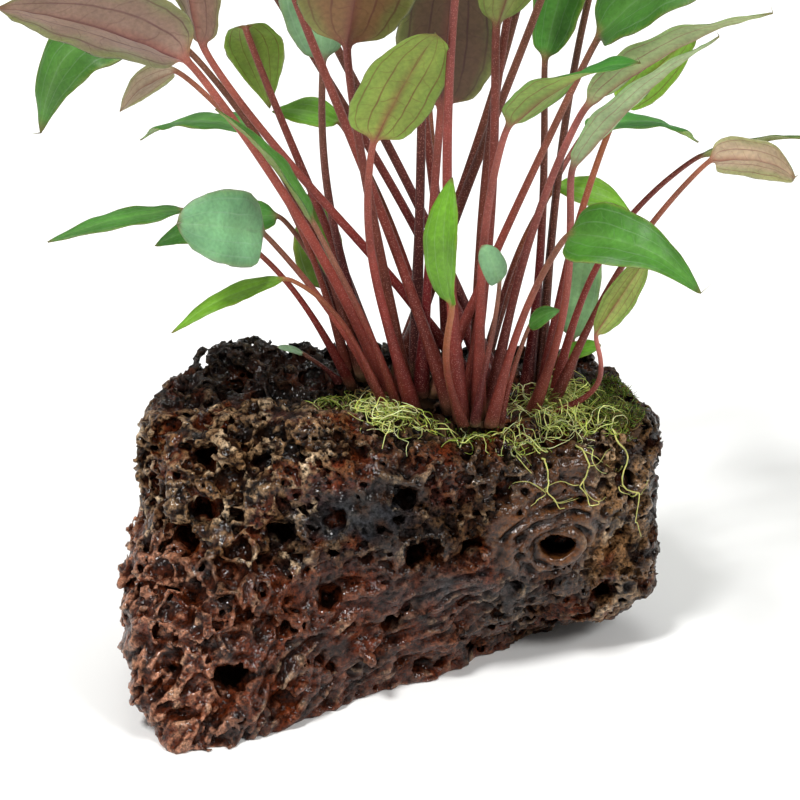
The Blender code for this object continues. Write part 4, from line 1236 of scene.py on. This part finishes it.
# Clumps of each pad: middle in plan, how far they spread, threads, how high they lift, share of pale ones.
# Patches of short dark tufts: middle in plan, how far they spread, tufts
moss = {
    "left": {
        "node": "moss_left", "floor": 72, "seed": 21,
        "clumps": [(-20, 17, 7, 4, 34, 3.5, 0.5), (-10, 14, 5, 4, 40, 4.5, 0.6)],
        "patches": [(-17, 19, 9, 5, 200)],
    },
    "front": {
        "node": "moss_front", "floor": 73, "seed": 22,
        "clumps": [(-4, 5, 5, 5, 84, 5.0, 0.8), (12, 3, 12, 4, 34, 4.0, 0.4), (33, 4, 8, 4, 36, 4.5, 0.5)],
        "patches": [(-2, 6, 7, 5, 140), (20, 6, 16, 5, 120)],
    },
    "right": {
        "node": "moss_right", "floor": 71, "seed": 23,
        "clumps": [
            (44, 24, 6, 10, 300, 8.5, 0.95), (48, 12, 6, 5, 44, 5.5, 0.7), (60, 20, 7, 9, 40, 3.5, 0.3),
        ],
        "patches": [(60, 27, 10, 15, 4200)],
    },
}
paleShades = ("#dfe3a4", "#cfd884", "#c4cd74", "#b3bf5c")
threadShades = ("#a3b44c", "#8c9c3c", "#76862e", "#6f5a2c")
threadSteps, curl = 12, 0.16
tuftShades = ("#4c6418", "#5f7c22", "#3a4c14", "#748c2e", "#332f14", "#4a3b1c")


def threadMesh(name, strands, sides):
    # every strand is a route, its radius and its colour
    vertices, faces, tints = [], [], []
    turns = np.linspace(0, 2 * math.pi, sides, endpoint=False)
    for route, radius, colour in strands:
        rings = len(route)
        tangents = unitRows(np.gradient(route, axis=0))
        side = unitRows(np.cross(tangents, np.array([0.31, 0.22, 0.92])))
        lift = np.cross(tangents, side)
        taper = np.linspace(1, 0.4, rings)[:, None, None] * radius
        circle = side[:, None] * np.cos(turns)[None, :, None] + lift[:, None] * np.sin(turns)[None, :, None]
        first = len(vertices)
        vertices.extend((route[:, None] + taper * circle).reshape(-1, 3))
        for k in range(rings - 1):
            a, b = first + k * sides, first + (k + 1) * sides
            faces.extend((a + i, a + (i + 1) % sides, b + (i + 1) % sides, b + i) for i in range(sides))
        faces.append(range(first + sides - 1, first - 1, -1))
        faces.append(range(len(vertices) - sides, len(vertices)))
        tints.extend([colour] * (rings * sides))
    mesh = bpy.data.meshes.new(name)
    mesh.from_pydata([tuple(p * mm) for p in vertices], [], faces)
    paint(mesh, "threadColour", np.array(tints))
    return addObject(name, mesh)


def threadMaterial(name):
    # threads of moss and root: thin, damp, pale yellow-green, half clear
    material, tree, shader = newMaterial(name, {
        "Metallic": 0.0, "IOR": 1.4, "Roughness": 0.5, "Subsurface Weight": 0.2, "Subsurface Scale": 0.4 * mm,
    })
    tone = remap(tree, noiseTexture(tree, readPlace(tree), 3, 3.0), 0.3, 0.7, 0.6, 1.3)
    wire(tree, shader, {"Base Color": mixColours(tree, readPaint(tree, "threadColour", "Color"), tone)})
    return material


def crawl(tree, place, heading, lifts, stride, draw, floor=0):
    # a thread feels its way over the stone and turns up again where it hangs below the floor
    route, turn = [], draw.normal(0, curl)
    for lift in lifts:
        ground, normal = nearest(tree, place)
        route.append(ground + normal * lift)
        turn = 0.8 * turn + draw.normal(0, curl)
        heading = heading + np.cross(normal, heading) * turn
        if ground[2] < floor:
            heading = heading + (0, 0, 0.5)
        heading = unit(heading - heading.dot(normal) * normal)
        place = ground + heading * stride
    return evened(evened(np.array(route)))


def buildMoss(tree):
    material = threadMaterial("moss threads")
    for name, pad in moss.items():
        draw = np.random.default_rng(pad["seed"])
        strands = []
        spots = [(True, clump) for clump in pad["clumps"] for k in range(clump[4])]
        spots += [(False, patch) for patch in pad["patches"] for k in range(patch[4])]
        for thread, (x, y, spreadX, spreadY, count, *rest) in spots:
            ring, turn = math.sqrt(draw.random()), draw.random() * 2 * math.pi
            x, y = x + spreadX * ring * math.cos(turn), y + spreadY * ring * math.sin(turn)
            hit = tree.ray_cast(Vector((x, y, 200)) * mm, Vector((0, 0, -1)))[0]
            if hit is None:
                continue
            ground = np.array(hit) / mm
            if thread:
                height, paleShare = rest
                top = 0.5 + height * draw.random() ** 1.5
                lifts = 0.3 + top * np.sin(np.linspace(0.1, 2.2 + 1.4 * draw.random(), threadSteps))
                stride = (7 + 14 * draw.random()) / threadSteps
                floor = pad["floor"] if draw.random() < 0.93 else 0
                heading = draw.normal(size=3)
                route = crawl(tree, ground, heading, np.maximum(lifts, 0.2), stride, draw, floor)
                pale = draw.random() < paleShare
                radius = (0.16 if pale else 0.11) + 0.12 * draw.random()
                shades = paleShades if pale else threadShades
            else:
                way = unit(draw.normal(size=3) * (1, 1, 0.5) + (0, 0, 0.5))
                bend = np.linspace(0, 1, 4)[:, None]
                size = 0.7 + 1.5 * draw.random()
                route = ground + way * bend * size + draw.normal(0, 0.5, 3) * bend**2
                radius, shades = 0.15, tuftShades
            shade = shades[int(draw.random() * len(shades))]
            strands.append((route, radius, linearColour(shade) * (0.75 + 0.45 * draw.random())))
        obj = threadMesh("moss" + name.title(), strands, 4 if name != "right" else 3)
        finishPiece(obj, pad["node"], material)
        print("moss", name, len(obj.data.polygons), "faces")


roots = {
    "root_long": [(60, 10, 74), (66, 6, 66), (69, 3, 58), (72, 4, 48), (74, 6, 40)],
    "root_front": [(40, -3, 72), (42, -5, 66), (46, -9, 60), (52, -9, 56)],
    "root_side": [(50, 4, 72), (54, 0, 66), (53, -5, 59), (58, -6, 54)],
}


def buildRoots(tree):
    material = threadMaterial("root threads")
    for number, (name, points) in enumerate(roots.items()):
        draw = np.random.default_rng(40 + number)
        touched = [nearest(tree, spot) for spot in throughPoints(np.array(points, float), 40)]
        laid = evened(evened(evened(np.array([ground + normal * 0.9 for ground, normal in touched]))))
        tone = linearColour("#b9b868")
        strands = [(laid, 0.3, tone)]
        for hair in range(4):
            k = draw.integers(0, 30)
            lifts = 0.4 + 1.2 * draw.random() * np.sin(np.linspace(0, 3, 10))
            heading = unit(laid[min(k + 3, 39)] - laid[k]) + draw.normal(0, 0.7, 3)
            route = crawl(tree, laid[k], heading, lifts, 0.7 + 1.0 * draw.random(), draw)
            strands.append((route, 0.15 + 0.08 * draw.random(), tone * (0.6 + 0.5 * draw.random())))
        obj = threadMesh("root" + name.split("_")[1].title(), strands, 5)
        finishPiece(obj, name, material)
    print("roots laid")


# Floor and light

studio = {
    "floor": "#f6f6f4",
    "sky": "#ffffff",
    "skyStrength": 0.3,
}
# Soft lamps far away: turn from the camera's side, height and width in degrees, strength
lamps = {
    "key": (-32, 56, 11, 2.6),
    "fill": (46, 40, 16, 1.4),
    "rear": (170, 60, 30, 0.8),
}


def buildStudio():
    deselectAll()
    bpy.ops.mesh.primitive_plane_add(size=8, location=(0, 0, 0))
    floor = bpy.context.object
    floor.name = "floor"
    material, tree, shader = newMaterial("matt white card", {"Roughness": 0.9, "Specular IOR Level": 0.1})
    shader.inputs["Base Color"].default_value = (*linearColour(studio["floor"]), 1)
    floor.data.materials.append(material)
    world = bpy.data.worlds.new("sky")
    scene.world = world
    world.use_nodes = True
    back = world.node_tree.nodes["Background"]
    back.inputs["Color"].default_value = (*linearColour(studio["sky"]), 1)
    back.inputs["Strength"].default_value = studio["skyStrength"]
    for name, (turn, height, width, strength) in lamps.items():
        data = bpy.data.lights.new(name, "SUN")
        data.angle = math.radians(width)
        data.energy = strength
        lamp = addObject(name, data)
        lamp.rotation_euler = (math.radians(90 - height), 0, math.radians(turn))
    scene.view_settings.view_transform = "Standard"
    print("studio lit")


deselectAll()
buildCamera()
stoneObj = buildStone()
buildLeaves()
buildRhizomes()
stoneTree = BVHTree.FromObject(stoneObj, bpy.context.evaluated_depsgraph_get())
buildMoss(stoneTree)
buildRoots(stoneTree)
buildStudio()
